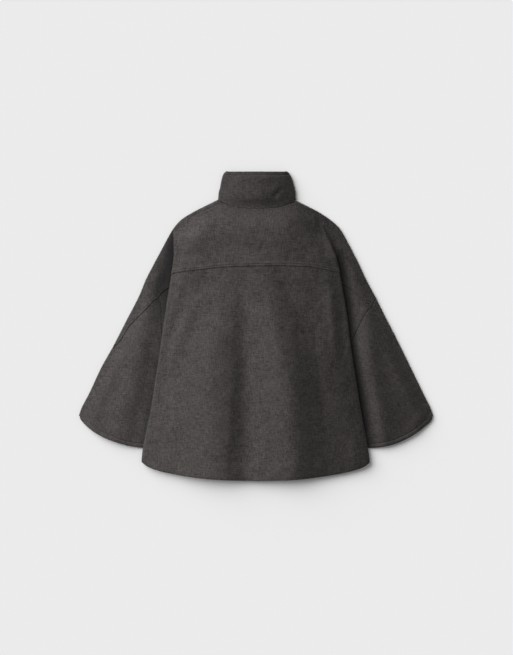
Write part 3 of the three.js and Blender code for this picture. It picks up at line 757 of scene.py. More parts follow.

# %% The painted shade beside the folded edge
# Sizes of the painted shade beside the folded edge
PAINTED_SHADE_TOP = (12, 16)
PAINTED_SHADE_LINE = 6
PAINTED_SHADE_FLAT = 0.2
PAINTED_SHADE_START = (-4, 0)


def add_painted_shade(mesh, places):
    """Painted shade: how much the colour is darkened in the narrow space beside the torso's folded edge.
    """
    x, y, z = places.T / MM
    amount = np.zeros(len(places))
    for side in SIDES:
        edge = lookup(side.torso, "up", "across", y)
        beside = side.sign * x - edge
        strength = lookup(side.painted_shade, "up", "amount", y)
        reach = lookup(side.painted_shade, "up", "reach", y)
        wide = strength * (1 - smooth(beside / reach, PAINTED_SHADE_FLAT, 1))
        narrow = strength * np.exp(-np.maximum(0, beside) / PAINTED_SHADE_LINE)
        shade = 1 - (1 - wide) * (1 - narrow)
        amount += shade * smooth(beside, *PAINTED_SHADE_START) * (1 - smooth(z, *PAINTED_SHADE_TOP))
    add_attribute(mesh, "painted_shade", "FLOAT", "value", amount)


print("the narrow part of the shade is about", PAINTED_SHADE_LINE, "mm wide")

# %% The shell
RIM_ANGLES = (50, 0, -50)
RIM_REACH = 0.4
RELIEF_FACING = 0.4


def add_rim(spots, points, facing, outward, half):
    """Adds the points of the rounded rim. Gives back each chain of points from skin to skin."""
    chains = {}
    for i, (way, _) in outward.items():
        chains[i] = [i]
        for degrees in RIM_ANGLES:
            angle = math.radians(degrees)
            chains[i].append(len(spots))
            outwards = way * RIM_REACH * math.cos(angle)
            spots.append(points[i] + outwards + facing[i] * half * math.sin(angle))
        chains[i].append(i + len(points))
    return chains


def shell_faces(panel, chains):
    """Faces of the outer skin, of the inner skin, which is turned over, and of the rim."""
    count = len(panel.points)
    faces = [list(face) for face in panel.faces]
    faces += [[i + count for i in reversed(face)] for face in panel.faces]
    for start, end in panel.border():
        near, far = chains[end], chains[start]
        for a, b, c, d in zip(near, far, far[1:], near[1:]):
            faces.append([a, b, c, d])
    return faces


def shell(panel, facings):
    """A closed Blender mesh of the panel, in metres."""
    points = np.array(panel.points)
    keys = {i: key for key, i in panel.found.items()}
    facing = np.array([facings[keys[i]] for i in range(len(points))])
    facing = facing / np.linalg.norm(facing, axis=1, keepdims=True)
    half = panel.thickness / 2
    outward = border_ways(panel, points, facing)
    relief = panel.relief() * smooth(facing[:, 2], 0, RELIEF_FACING)
    for i, (way, stretch) in outward.items():
        points[i] = points[i] - way * stretch * (RIM_REACH + SEAM_GAP / 2)
        relief[i] = 0
    outer = points + facing * (half + relief)[:, None]
    spots = [*outer, *(points - facing * half)]
    chains = add_rim(spots, points, facing, outward, half)
    mesh = bpy.data.meshes.new(panel.name)
    mesh.from_pydata([tuple(spot * MM) for spot in spots], [], shell_faces(panel, chains))
    mesh.shade_smooth()
    mesh.update()
    places = np.array(spots) * MM
    add_nap(mesh, places, panel.lean_half, {i: facing[i] for i in outward})
    add_painted_shade(mesh, places)
    return mesh


print("a rim has", len(RIM_ANGLES), "lines of points between the two skins")

# %% [markdown]
# ## Relief of seams, hems and topstitching
#
# Each function turns the distance from a line, in millimetres, into a height. On the pressed side of
# a seam the cloth is doubled, so it stands higher as far as the seam allowance reaches, and the row
# of topstitching pulls it down in a narrow groove. The other side only dips towards the seam.
#
# A bump texture could show the seams as well. Real height throws its own small shadow, and it holds
# from every side.

# %% Heights beside seams, hems and stitching
STITCH_FROM_SEAM = 6.0
STITCH_FROM_CUFF = 11.0
STITCH_FROM_SHOULDER = 5.5
STITCH_FROM_COLLAR_TOP = 10.0

# Height of the doubled cloth, and the two distances between which it ends
PRESSED = (0.55, (7.5, 12))
PLAIN = (-0.2, (0, 4.5))
CUFF = (0.5, (30, 38))
HEM_TURNING = (0.45, (36, 46))
SHOULDER = (0.2, (8, 12))
PRESSED_RISE = (0, 2.4)

# Place, depth and width of the groove that a row of topstitching pulls
SEAM_GROOVE = (STITCH_FROM_SEAM, 0.5, 0.9)
CUFF_GROOVE = (STITCH_FROM_CUFF, 0.8, 1.1)
SHOULDER_GROOVE = (STITCH_FROM_SHOULDER, 0.4, 1.1)
COLLAR_GROOVE = (STITCH_FROM_COLLAR_TOP, 0.8, 1.2)


def doubled(distance, height, ends):
    """Raised by the height beside the line, and level again beyond both ends."""
    return height * (1 - smooth(distance, *ends))


def groove(distance, at, depth, width):
    return -depth * np.exp(-(((distance - at) / width) ** 2))


def pressed_side(distance):
    return doubled(distance, *PRESSED) * smooth(distance, *PRESSED_RISE) + groove(distance, *SEAM_GROOVE)


def plain_side(distance):
    return doubled(distance, *PLAIN)


def cuff_edge(distance):
    return doubled(distance, *CUFF) + groove(distance, *CUFF_GROOVE)


def hem_edge(distance):
    return doubled(distance, *HEM_TURNING)


def shoulder_edge(distance):
    return doubled(distance, *SHOULDER) + groove(distance, *SHOULDER_GROOVE)


def collar_edge(distance):
    return groove(distance, *COLLAR_GROOVE)


print("a pressed seam stands", PRESSED[0], "mm high, its stitching lies", SEAM_GROOVE[0], "mm away")

# %% [markdown]
# ## Filling a panel between its border lines
#
# `filled` spreads a grid between four border lines. Each inner point is a blend of the four lines,
# less the part that the corners would count twice. `spaced` sets the points of one border line: at
# fixed distances near a seam, where the relief needs them, and evenly over the rest.
#
# Blender's Grid Fill does the same between four edges by hand, but it can't crowd points at a seam.

# %% Spreading points along a border line
SAME_PLACE = 1e-6
NEAR_SEAM = (0, 0.9, 2, 3.2, 4.4, 5.2, 6, 6.8, 7.8, 9.2, 11, 13.5)
NEAR_EDGE = (0, 2, 3.6, 4.7, 5.5, 6.3, 7.6, 9.5, 12)
NEAR_CUFF = (0, 1.5, 4, 7, 9, 10, 11, 12, 13, 15, 18)
NEAR_PLAIN = (0, 1.2, 2.8, 5)
NEAR_NOTHING = (0,)


def spaced(length, count, near_low=NEAR_NOTHING, near_high=NEAR_NOTHING):
    """Shares of a length: fixed distances near each end and the given count of points between."""
    low = [value / length for value in near_low]
    high = [1 - value / length for value in reversed(near_high)]
    middle = np.linspace(low[-1], high[0], count + 2)[1:-1]
    return np.array([*low, *middle, *high])


def lengths_of(line):
    """Distance along a chain of points, from its first point to each."""
    return np.concatenate([[0], np.cumsum(np.linalg.norm(np.diff(line, axis=0), axis=1))])


def shares_of(line):
    """The same as shares of the whole, or nothing for a line without length."""
    lengths = lengths_of(line)
    return lengths / lengths[-1] if lengths[-1] > SAME_PLACE else None


def mean_shares(first, second):
    one, two = shares_of(first), shares_of(second)
    if one is None:
        return two
    return one if two is None else (one + two) / 2


print("a seam has", len(NEAR_SEAM), "points close beside it")

# %% Filling in between
def filled(bottom, top, left, right):
    """A grid of points between four border lines."""
    bottom, top, left, right = (np.asarray(line) for line in (bottom, top, left, right))
    u = mean_shares(bottom, top)[None, :, None]
    v = mean_shares(left, right)[:, None, None]
    grid = (1 - v) * bottom[None] + v * top[None] + (1 - u) * left[:, None] + u * right[:, None]
    corners = (1 - u) * (1 - v) * bottom[0] + u * (1 - v) * bottom[-1]
    corners = corners + (1 - u) * v * top[0] + u * v * top[-1]
    return grid - corners


def add_rows(panel, side, rows):
    """Rows run from the outline inwards. On the right they are turned, so that both face alike."""
    rows = np.asarray(rows)
    panel.grid(rows if side.sign < 0 else rows[:, ::-1])


def add_roll(panel, side, places, angles):
    columns = [rolled(side, np.asarray(places), angle) for angle in angles]
    add_rows(panel, side, np.stack(columns, axis=1))


def lift_inside(side, grid):
    """Gives the inner points of a grid the sleeve's height; its borders stay shared."""
    grid = grid.copy()
    grid[1:-1, 1:-1, 2] = sleeve_heights(side, grid[1:-1, 1:-1, 0], grid[1:-1, 1:-1, 1])
    return grid


def seam_line(side, table, places, first=None, last=None):
    """A seam on the sleeve's upper layer, with its end points given where others share them."""
    line = on_sleeve(side, Curve(side, table).at(places))
    if first is not None:
        line[0] = first
    if last is not None:
        line[-1] = last
    return line


def crossing_of(side):
    """Where the yoke's lower seam crosses the armhole seam."""
    return on_sleeve(side, Curve(side, side.yoke_end).at(np.array([0.0])))[0]


print("the seams cross at", [np.round(crossing_of(side), 1).tolist() for side in SIDES])

# %% [markdown]
# ## The back yoke
#
# The yoke runs over both shoulders. Beside the torso it goes down into the fold and comes out again
# as the dropped shoulder on the sleeve. Its lower seam crosses the armhole seam there.
#
# It could be one flat grid that is bent afterwards. Several grids that share their border points are
# used, because the points can then follow the fold's lines and both seams exactly.

# %% The yoke's seams and neck
TOP_ROLL = (0, 15, 30, 45, 60, 75, 90)
FLOOR_ROLL = (-90, -60, -30, 0)
YOKE_MIDDLE_ROWS = 22
TUCK_LINE = np.linspace(0, 1, 13)
NECK_LINE = np.linspace(-70, 70, 33)
SHOULDER_SHARES = np.linspace(0, 1, 22)
ACROSS_WEDGE = np.linspace(0, 1, 40)


def up_at(x, name):
    """Reads a table of the left side where x is below zero, and of the right side elsewhere."""
    x = np.asarray(x, float)
    left, right = (lookup(getattr(side, name), "across", "up", np.abs(x)) for side in SIDES)
    return np.where(x < 0, left, right)


def neck_at(x):
    return up_at(x, "neck")


def yoke_seam_at(x):
    return up_at(x, "yoke_seam")


def hem_at(x):
    return lookup(HEM, "across", "up", np.abs(x))


def yoke_seam_on_fold(side, node):
    """The yoke seam's height where it crosses one line of the fold."""
    return mix(side.yoke_end["up"][-1], side.yoke_seam["up"][-1], node / LAST_NODE)


print("the yoke is", round(float(neck_at(0) - yoke_seam_at(0))), "mm high at the centre back")

# %% The yoke from the fold outwards
LENGTH_STEPS = 60


def yoke_shares(length):
    return spaced(length, YOKE_MIDDLE_ROWS, NEAR_SEAM, NEAR_EDGE)


def yoke_fold_column(side, node):
    low = yoke_seam_on_fold(side, node)
    top = inset(side, np.array([side.fold_places[node]]))[0]
    column = fold_points(side, node, mix(low, top[1], yoke_shares(top[1] - low)))
    column[-1] = top
    return column


def length_along(side, first, last):
    """Length of the outline between two places on it."""
    return float(lengths_of(side.outline_curve.at(np.linspace(first, last, LENGTH_STEPS)))[-1])


def yoke_side(panel, side):
    """The yoke from the fold's crest outwards. Gives back the column on the crest."""
    columns = [yoke_fold_column(side, node) for node in range(LAST_NODE + 1)]
    add_rows(panel, side, np.stack(columns, axis=1))
    length = length_along(side, side.armhole_place, side.fold_places[0])
    places = mix(side.armhole_place, side.fold_places[0], yoke_shares(length))
    left = inset(side, places)
    crossing = crossing_of(side)
    outer = seam_line(side, side.armhole_top, ACROSS_WEDGE, left[0], crossing)
    inner = seam_line(side, side.yoke_end, TUCK_LINE, crossing, columns[0][0])
    bottom = np.concatenate([outer, inner[1:]])
    top = np.repeat(left[-1:], len(bottom), axis=0)
    add_rows(panel, side, lift_inside(side, filled(bottom, top, left, columns[0])))
    add_roll(panel, side, places, TOP_ROLL)
    panel.reliefs.append((bottom, pressed_side))
    panel.reliefs.append((np.array([column[0] for column in columns]), pressed_side))
    panel.stitching.append((bottom, -side.sign * STITCH_FROM_SEAM))
    return columns[LAST_NODE]


print("the left shoulder is", round(length_along(LEFT, 0, LEFT.fold_places[0])), "mm long")

# %% The yoke between the folds
CREST_EASE = 20


def shoulder_places(side):
    return side.fold_places[LAST_NODE] * (1 - SHOULDER_SHARES)


def yoke_tops():
    """Upper ends of the yoke's upright lines, along both shoulders and the neck."""
    left = inset(LEFT, shoulder_places(LEFT)[1:])
    right = inset(RIGHT, shoulder_places(RIGHT)[1:][::-1])
    neck = np.column_stack([NECK_LINE, neck_at(NECK_LINE), np.full(len(NECK_LINE), NECK_REST)])
    return np.concatenate([left, neck, right])


def seam_positions():
    """X at which the yoke's upright lines cross its lower seam."""
    low, high = [], []
    for side in SIDES:
        up = np.array([yoke_seam_on_fold(side, LAST_NODE)])
        low.append(fold_points(side, LAST_NODE, up)[0, 0])
        high.append(inset(side, np.array([side.fold_places[LAST_NODE]]))[0, 0])
    return mix(low[0], low[1], (yoke_tops()[:, 0] - high[0]) / (high[1] - high[0]))


def yoke_column(x, top):
    """One upright line of the yoke. Near its top and beside the folds it takes their height."""
    low = float(yoke_seam_at(x))
    shares = yoke_shares(top[1] - low)
    xs = mix(x, top[0], shares)
    ys = mix(low, top[1], shares)
    near_top = 1 - smooth((1 - shares) * (top[1] - low), 0, TOP_FALL)
    free = torso_height(xs, ys) + torso_drape(xs, ys)
    height = mix(free, top[2], near_top)
    for side in SIDES:
        across, high = fold_section(side, ys)
        beside = 1 - smooth(across[..., LAST_NODE] - side.sign * xs, 0, CREST_EASE)
        height = mix(height, high[..., LAST_NODE], beside)
    return np.column_stack([xs, ys, height])


def back_yoke():
    panel = Panel("back_yoke")
    left, right = (yoke_side(panel, side) for side in SIDES)
    middle = [yoke_column(x, top) for x, top in zip(seam_positions(), yoke_tops())]
    whole = np.stack([left, *middle, right], axis=1)
    panel.grid(whole)
    panel.reliefs.append((whole[0], pressed_side))
    panel.stitching.append((whole[0], STITCH_FROM_SEAM))
    for side in SIDES:
        add_roll(panel, side, [*side.fold_places[:-1], *shoulder_places(side)], TOP_ROLL)
        shoulder = inset(side, shoulder_places(side))
        panel.reliefs.append((shoulder, shoulder_edge))
        panel.stitching.append((shoulder, side.sign * STITCH_FROM_SHOULDER))
    return panel


yoke_panel = back_yoke().counted()

# %% [markdown]
# ## The lower back
#
# Below the yoke the back hangs in two soft flutes down to the hem. Above the underarm it reaches past
# the fold as far as the armhole seam; below it, the panel ends at the side seam under the fold. Its
# top row has the yoke's own points, so that the seam between them closes.

# %% The lower back from the fold outwards
UNDERARM_RAMP = 7
BODY_LOW = np.linspace(0, 1, 52)
BODY_MIDDLE_ROWS = 32
BODY_HIGH_LENGTH = 190
BODY_HIGH = spaced(BODY_HIGH_LENGTH, BODY_MIDDLE_ROWS, NEAR_NOTHING, NEAR_PLAIN)
HEM_SIDE = -350.0


def body_hem(side, node):
    across, _ = fold_section(side, HEM_SIDE)
    return float(hem_at(across[max(node, TUCK_STEPS)]))


def body_rows(side):
    """Shares of the height: rows below the underarm, a short ramp, and rows above it."""
    low = body_hem(side, 0)
    height = yoke_seam_on_fold(side, 0) - low
    below = (side.underarm - UNDERARM_RAMP - low) / height
    above = (side.underarm - low) / height
    return np.concatenate([BODY_LOW * below, mix(above, 1, BODY_HIGH)])


def body_fold_column(side, node):
    low, high = body_hem(side, node), yoke_seam_on_fold(side, node)
    return fold_points(side, node, mix(low, high, body_rows(side)))


def body_side(panel, side):
    """The lower back from the fold's crest outwards. Gives back the column on the crest."""
    columns = [body_fold_column(side, node) for node in range(LAST_NODE + 1)]
    for column in columns[:TUCK_STEPS]:
        column[: len(BODY_LOW)] = columns[TUCK_STEPS][: len(BODY_LOW)]
    add_rows(panel, side, np.stack(columns, axis=1))
    right = columns[0][len(BODY_LOW):]
    crossing = crossing_of(side)
    left = seam_line(side, side.armhole_low, (1 - BODY_HIGH)[::-1], crossing, right[0])[::-1]
    top = seam_line(side, side.yoke_end, TUCK_LINE, crossing, right[-1])
    bottom = np.repeat(right[:1], len(top), axis=0)
    add_rows(panel, side, lift_inside(side, filled(bottom, top, left, right)))
    panel.reliefs.append((left, pressed_side))
    panel.reliefs.append((top, plain_side))
    panel.stitching.append((left, side.sign * STITCH_FROM_SEAM))
    return columns[LAST_NODE]


print("the side seams meet the hem at", [round(body_hem(side, 0)) for side in SIDES], "mm")

# %% The lower back between the folds
def body_column(left, right, share):
    """One upright line of the lower back, between the crests of both folds."""
    low = hem_at(mix(left[0, 0], right[0, 0], share))
    high = yoke_seam_at(mix(left[-1, 0], right[-1, 0], share))
    start = mix(left[0, 1], right[0, 1], share)
    end = mix(left[-1, 1], right[-1, 1], share)
    line = mix(left, right, share)
    line[:, 1] = mix(low, high, (line[:, 1] - start) / (end - start))
    line[:, 2] = torso_height(line[:, 0], line[:, 1]) + torso_drape(line[:, 0], line[:, 1])
    return line


def back_body():
    panel = Panel("back_body")
    left, right = (body_side(panel, side) for side in SIDES)
    shares = (seam_positions() - left[-1, 0]) / (right[-1, 0] - left[-1, 0])
    whole = np.stack([left, *(body_column(left, right, share) for share in shares), right], axis=1)
    panel.grid(whole)
    panel.reliefs.append((whole[-1], plain_side))
    panel.reliefs.append((whole[0], hem_edge))
    return panel


body_panel = back_body().counted()

# %% [markdown]
# ## The sleeves
#
# A sleeve has two pieces. The back piece shows. The front piece lies on the table and wraps round the
# outer edge as a narrow wedge, so that its seam crosses the armhole seam on the upper side.
#
# A tube could be flattened into a sleeve. Two layers with a rolled edge between them keep the cuff's
# curve and the seam across the sleeve where they lie on the coat.

# %% Places along the sleeve
CUFF_CORNER = -231
SLEEVE_MIDDLE = 14
SLEEVE_HIGH = np.linspace(0, 1, len(BODY_HIGH))
SLEEVE_BEND = 0.48
WEDGE_ROWS = 26
FLOOR_COLUMNS = np.linspace(0, 1, 20)


def sleeve_places(side):
    """Outline places of the sleeve's rows: cuff corner to sleeve seam, and on to the armhole."""
    corner = side.outline_curve.place_where(lambda spot: spot[1] > CUFF_CORNER)
    bend = mix(corner, side.seam_place, SLEEVE_BEND)
    low = mix(corner, bend, spaced(length_along(side, corner, bend), SLEEVE_MIDDLE, NEAR_CUFF))
    middle = mix(bend, side.seam_place, SLEEVE_HIGH)
    high = mix(side.seam_place, side.armhole_place, np.linspace(0, 1, WEDGE_ROWS))
    return np.concatenate([low, middle[1:]]), high


def inner_edge(side, shares, height):
    """The sleeve's edge under the torso, from the cuff to the underarm."""
    up = mix(side.cuff["up"][-1], side.underarm, shares)
    across, _ = fold_section(side, up)
    return np.column_stack([side.sign * across[:, 0], up, np.full(len(up), height)])


def cuff_line(side, first, last, places):
    line = Curve(side, side.cuff).at(places)
    line = np.column_stack([line, mix(first[2], last[2], places)])
    line[0], line[-1] = first, last
    return line


print("rows up each sleeve:", [len(sleeve_places(side)[0]) for side in SIDES])

# %% The back piece of a sleeve
SLEEVE_EASE = 1


def sleeve_back(side):
    panel = Panel("sleeve_back_" + side.name)
    places, _ = sleeve_places(side)
    left = inset(side, places)
    crossing = crossing_of(side)
    length = side.underarm - side.cuff["up"][-1]
    inner = inner_edge(side, spaced(length, SLEEVE_MIDDLE, NEAR_CUFF), SECOND_LAYER)
    inner[-1, 0] += side.sign * SLEEVE_EASE
    high = seam_line(side, side.armhole_low, (1 - BODY_HIGH)[::-1], crossing, inner[-1])[::-1]
    right = np.concatenate([inner, high[1:]])
    top = seam_line(side, side.sleeve_seam, ACROSS_WEDGE, left[-1], crossing)
    bottom = cuff_line(side, left[0], right[0], ACROSS_WEDGE)
    bottom[1:-1, 2] = sleeve_heights(side, bottom[1:-1, 0], bottom[1:-1, 1])
    add_rows(panel, side, lift_inside(side, filled(bottom, top, left, right)))
    add_roll(panel, side, places, TOP_ROLL)
    panel.reliefs += [(bottom, cuff_edge), (top, plain_side), (high, plain_side)]
    panel.stitching.append((bottom, -side.sign * STITCH_FROM_CUFF))
    return panel


sleeve_backs = [sleeve_back(side).counted() for side in SIDES]


# %% The front piece of a sleeve
def sleeve_front(side):
    panel = Panel("sleeve_front_" + side.name)
    low, high = sleeve_places(side)
    places = np.concatenate([low, high[1:]])
    left = rolled(side, places, FOOT_OF_ROLL)
    right = inner_edge(side, np.linspace(0, 1, len(places)), FIRST_LAYER)
    top = Curve(side, side.front_armhole).at(FLOOR_COLUMNS)
    top = np.column_stack([top, np.full(len(top), FIRST_LAYER)])
    top[0], top[-1] = left[-1], right[-1]
    floor = filled(cuff_line(side, left[0], right[0], FLOOR_COLUMNS), top, left, right)
    add_rows(panel, side, floor[:, ::-1])
    add_roll(panel, side, places, FLOOR_ROLL)
    add_roll(panel, side, high, TOP_ROLL)
    outer = inset(side, high)
    crossing = crossing_of(side)
    seam = seam_line(side, side.sleeve_seam, ACROSS_WEDGE, outer[0], crossing)
    hole = seam_line(side, side.armhole_top, ACROSS_WEDGE, outer[-1], crossing)
    point = np.repeat(crossing[None], len(outer), axis=0)
    add_rows(panel, side, lift_inside(side, filled(seam, hole, outer, point)))
    panel.reliefs += [(seam, pressed_side), (hole, plain_side)]
    panel.stitching.append((seam, -side.sign * STITCH_FROM_SEAM))
    return panel


sleeve_fronts = [sleeve_front(side).counted() for side in SIDES]

# %% [markdown]
# ## The two fronts
#
# The fronts lie on the table, under everything else. The left front laps inside the right one. Their
# outer border runs up the side seam, along the armhole seam and over the shoulder. Nobody sees them
# from above, but they carry the coat, and they show when it is looked at from the hem.

# %% Where a front begins and ends
FRONT_NECK_DROP = 29
FRONT_OVERLAP = 35
OVERLAP_STEP = 9
SIDE_RAMP = 32
UNDERARM_EASE = 4.5
FRONT_LOW = np.linspace(0, 1, 24)
FRONT_ARMHOLE = np.linspace(0, 1, 16)
FRONT_SHOULDER = np.linspace(0, 1, 22)
FRONT_STEPS = (0, 4, 8, 12, 16, 20, 24, 28, 32)
FRONT_MIDDLE = 10
LAP_START = -FRONT_OVERLAP - OVERLAP_STEP
LAP_FULL = -FRONT_OVERLAP - 1
INNER_LAP = (LAP_START, LAP_FULL, -12, 12, FRONT_OVERLAP)
OUTER_LAP = (0, -18, -FRONT_OVERLAP)
LOW_PULL = 4
HIGH_PULL = 6


def front_height(side, x, y):
    """The front lies on the table, rises at the side seam, and laps over the other front."""
    across, _ = fold_section(side, y)
    away = across[..., 0] - np.abs(x)
    raised = smooth(side.underarm - y, 0, UNDERARM_RAMP) * (1 - smooth(away, 0, SIDE_RAMP))
    lapped = smooth(x, LAP_START, LAP_FULL) if side.laps_inside else 0
    rise = 2 * TUCK_RADIUS + SECOND_LAYER - FIRST_LAYER
    return FIRST_LAYER + raised * rise + lapped * (COLLAR_CLOTH + LAY_GAP)


def front_side(side):
    """The outer border of a front, and the outline's places along its shoulder."""
    up = mix(body_hem(side, 0), side.underarm - UNDERARM_RAMP, FRONT_LOW)
    across, _ = fold_section(side, up)
    low = np.column_stack([side.sign * across[:, 0], up, np.zeros(len(up))])
    armhole = Curve(side, side.front_armhole).at(1 - FRONT_ARMHOLE)
    armhole = np.column_stack([armhole, np.zeros(len(armhole))])
    low[-1, 0] -= side.sign * UNDERARM_EASE
    armhole[0, 0] -= side.sign * UNDERARM_EASE
    sleeve_top = mix(side.armhole_place, side.fold_places[0], FRONT_SHOULDER)
    places = [*sleeve_top, *side.fold_places, *shoulder_places(side)]
    shoulder = [places[0]]
    for place in places[1:]:
        if shoulder[-1] - place > SAME_PLACE:
            shoulder.append(place)
    edge = rolled(side, np.array(shoulder), FOOT_OF_ROLL)
    armhole[-1] = edge[0]
    return np.concatenate([low, armhole, edge[1:]]), shoulder


print("the fronts lap", 2 * FRONT_OVERLAP, "mm at the centre")

# %% A front as rows from its border to its edge
def front_row(side, start):
    """X of the points of one row of a front, from its outer border to its front edge."""
    near = [start - side.sign * step for step in FRONT_STEPS]
    ends = INNER_LAP if side.laps_inside else OUTER_LAP
    middle = np.linspace(near[-1], ends[0], FRONT_MIDDLE)[1:-1]
    return np.array([*near, *middle, *ends])


def front_neck_at(x):
    """The front neck seam dips below the back one, from the shoulder's end to the front edge."""
    x = np.asarray(x, float)
    ends = [at_collar(side, FOOT_OF_ROLL) for side in SIDES]
    end_x = np.where(x < 0, ends[0][0], ends[1][0])
    end_y = np.where(x < 0, ends[0][1], ends[1][1])
    middle = neck_at(0) - FRONT_NECK_DROP
    share = np.minimum(1, np.abs(x / end_x))
    return end_y - (end_y - middle) * np.cos(share * math.pi / 2)


def front(side):
    panel = Panel("front_" + side.name)
    line, shoulder = front_side(side)
    end = FRONT_OVERLAP if side.laps_inside else -FRONT_OVERLAP
    bottom, top = float(hem_at(end)), float(neck_at(0) - FRONT_NECK_DROP)
    rows = []
    for start, up in zip(line, shares_of(line)):
        x = front_row(side, start[0])
        across = (x - start[0]) / (end - start[0])
        low_pull = max(0, 1 - up * LOW_PULL) ** 2
        high_pull = max(0, 1 - (1 - up) * HIGH_PULL) ** 2
        y = mix(start[1], mix(bottom, top, up), across)
        y = y + low_pull * (hem_at(x) - mix(line[0, 1], bottom, across))
        y = y + high_pull * (front_neck_at(x) - mix(line[-1, 1], top, across))
        rows.append(np.column_stack([x, y, front_height(side, x, y)])[::-1])
    add_rows(panel, side, np.array(rows))
    add_roll(panel, side, shoulder, FLOOR_ROLL)
    return panel


fronts = [front(side).counted() for side in SIDES]

# %% [markdown]
# ## The stand collar
#
# The collar is one band round the neck. It rolls over at both sides and its ends lap at the front,
# under the back. The back of the band has a few soft wrinkles and one row of stitching below its top.
#
# A bent cylinder would be close, but this band narrows towards its top and its foot follows the neck
# seam. So upright lines are placed side by side, and one grid goes through them all.

# %% Sizes of the collar
COLLAR_GAP = 1.0
COLLAR_HALF = COLLAR_CLOTH / 2
COLLAR_RADIUS = (NECK_REST - COLLAR_HALF) / 2
COLLAR_TOP = 394.5
COLLAR_STRAIGHT_HALF = 44
COLLAR_LEAN_HALF = 0.085
COLLAR_TURNS = (FOOT_OF_ROLL, -70, -45, -20, 0, 20, 45, 70, TOP_OF_ROLL)
COLLAR_MIDDLE = 16
COLLAR_LENGTH = 86
COLLAR_DROP = 3.5
COLLAR_STITCHING = ((-78, COLLAR_TOP, NECK_REST), (86, COLLAR_TOP, NECK_REST))
COLLAR_DOME = 3.2
COLLAR_DOME_HALF = 88
COLLAR_BROAD_STRENGTH = 0.4
COLLAR_FINE_STRENGTH = 0.12
COLLAR_WAVE_SCALE = 1.7

# Where the wrinkles fade out: below the top, above the foot, and from the middle to the sides
CALM_TOP = (-6, 20)
CALM_FOOT = (306, 328)
CALM_SIDES = (60, 88)

# The front flats leave out their outermost points, which would lie beyond the roll at the top
FLAT_BEGINS = 2
print("the collar is", COLLAR_TOP - float(neck_at(0)), "mm high at the centre back")


# %% The parts of the collar
def collar_roll_at(side, y):
    return lookup(side.collar_side, "up", "across", y) - COLLAR_HALF - COLLAR_RADIUS


def collar_drape(x, y):
    height = creases(COLLAR_CREASES, x, y)
    height += COLLAR_BROAD_STRENGTH * waves(BROAD_WAVES, COLLAR_WAVE_SCALE * x, COLLAR_WAVE_SCALE * y)
    height += COLLAR_FINE_STRENGTH * waves(FINE_WAVES, x, y)
    height += COLLAR_DOME * np.cos(np.clip(x / COLLAR_DOME_HALF, -1, 1) * math.pi / 2)
    inside = smooth(COLLAR_TOP - y, *CALM_TOP) * smooth(y, *CALM_FOOT)
    return height * inside * (1 - smooth(np.abs(x), *CALM_SIDES))


def collar_flat(side_xs, height, low, shares):
    """Points of the collar beside its rolls. They move inwards as the collar narrows."""
    x = np.asarray(side_xs, float)[None, :]
    y = mix(np.asarray(low, float)[None, :], COLLAR_TOP, shares[:, None])
    shift = np.zeros(y.shape)
    for side in SIDES:
        foot = collar_roll_at(side, side.collar_side["up"][0])
        away = (np.abs(x) - COLLAR_STRAIGHT_HALF) / (foot - COLLAR_STRAIGHT_HALF)
        moved = np.maximum(0, away) * (foot - collar_roll_at(side, y))
        shift = np.where(np.sign(x) == side.sign, moved, shift)
    x = x - np.sign(x) * shift
    return np.stack([x, y, np.broadcast_to(np.asarray(height, float), y.shape)], axis=-1)


def collar_rolled(side, degrees, shares):
    """One upright line of the collar's roll. It reaches a little below the shoulder's edge."""
    turn = math.radians(degrees)
    low = at_collar(side, degrees)[1] + SEAM_GAP - COLLAR_DROP * math.cos(turn)
    y = mix(low, COLLAR_TOP, shares)
    x = side.sign * (collar_roll_at(side, y) + COLLAR_RADIUS * math.cos(turn))
    height = COLLAR_HALF + COLLAR_RADIUS * (1 + math.sin(turn))
    return np.column_stack([x, y, np.full(len(y), height)])


print("each roll of the collar has", len(COLLAR_TURNS), "lines")

# %% The whole collar
def collar():
    panel = Panel("collar", COLLAR_CLOTH, COLLAR_LEAN_HALF)
    shares = spaced(COLLAR_LENGTH, COLLAR_MIDDLE, NEAR_PLAIN, NEAR_CUFF)
    left_foot, right_foot = (
        front_row(side, at_collar(side, FOOT_OF_ROLL)[0])[FLAT_BEGINS:] for side in SIDES
    )
    left_foot = left_foot[::-1]
    lifted = COLLAR_HALF + COLLAR_CLOTH + COLLAR_GAP
    inner = np.where(left_foot >= LAP_FULL, lifted, COLLAR_HALF)
    back = collar_flat(NECK_LINE, NECK_REST, neck_at(NECK_LINE), shares)
    back[..., 2] += collar_drape(back[..., 0], back[..., 1])
    left_roll, right_roll = (
        [collar_rolled(side, angle, shares) for angle in COLLAR_TURNS] for side in SIDES
    )
    parts = [
        collar_flat(left_foot, inner, front_neck_at(left_foot), shares),
        np.stack(left_roll, axis=1),
        back,
        np.stack(right_roll[::-1], axis=1),
        collar_flat(right_foot, COLLAR_HALF, front_neck_at(right_foot), shares),
    ]
    whole = np.concatenate(parts, axis=1)
    panel.grid(whole)
    panel.reliefs.append((whole[-1], collar_edge))
    panel.stitching.append((np.array(COLLAR_STITCHING), -STITCH_FROM_COLLAR_TOP))
    return panel


collar_panel = collar().counted()

# %% [markdown]
# ## From panels to Blender objects
#
# All panels add up their facings first, because sewn neighbours share them. Then each panel becomes
# one object with its own name, at the origin and unturned. `from_pydata`, which `shell` uses, is the
# plainest way to make a mesh from numbers.

# %% Objects of cloth
panels = [collar_panel, yoke_panel, body_panel, *sleeve_backs, *sleeve_fronts, *fronts]
facings = {}
for panel in panels:
    panel.add_facing(facings)


def add_object(name, mesh):
    piece = bpy.data.objects.new(name, mesh)
    bpy.context.scene.collection.objects.link(piece)
    return piece


cloth = {}
for panel in panels:
    piece = add_object("cloth_" + panel.name, shell(panel, facings))
    cloth[panel.name] = piece
    print(piece.name, len(piece.data.polygons), "faces")

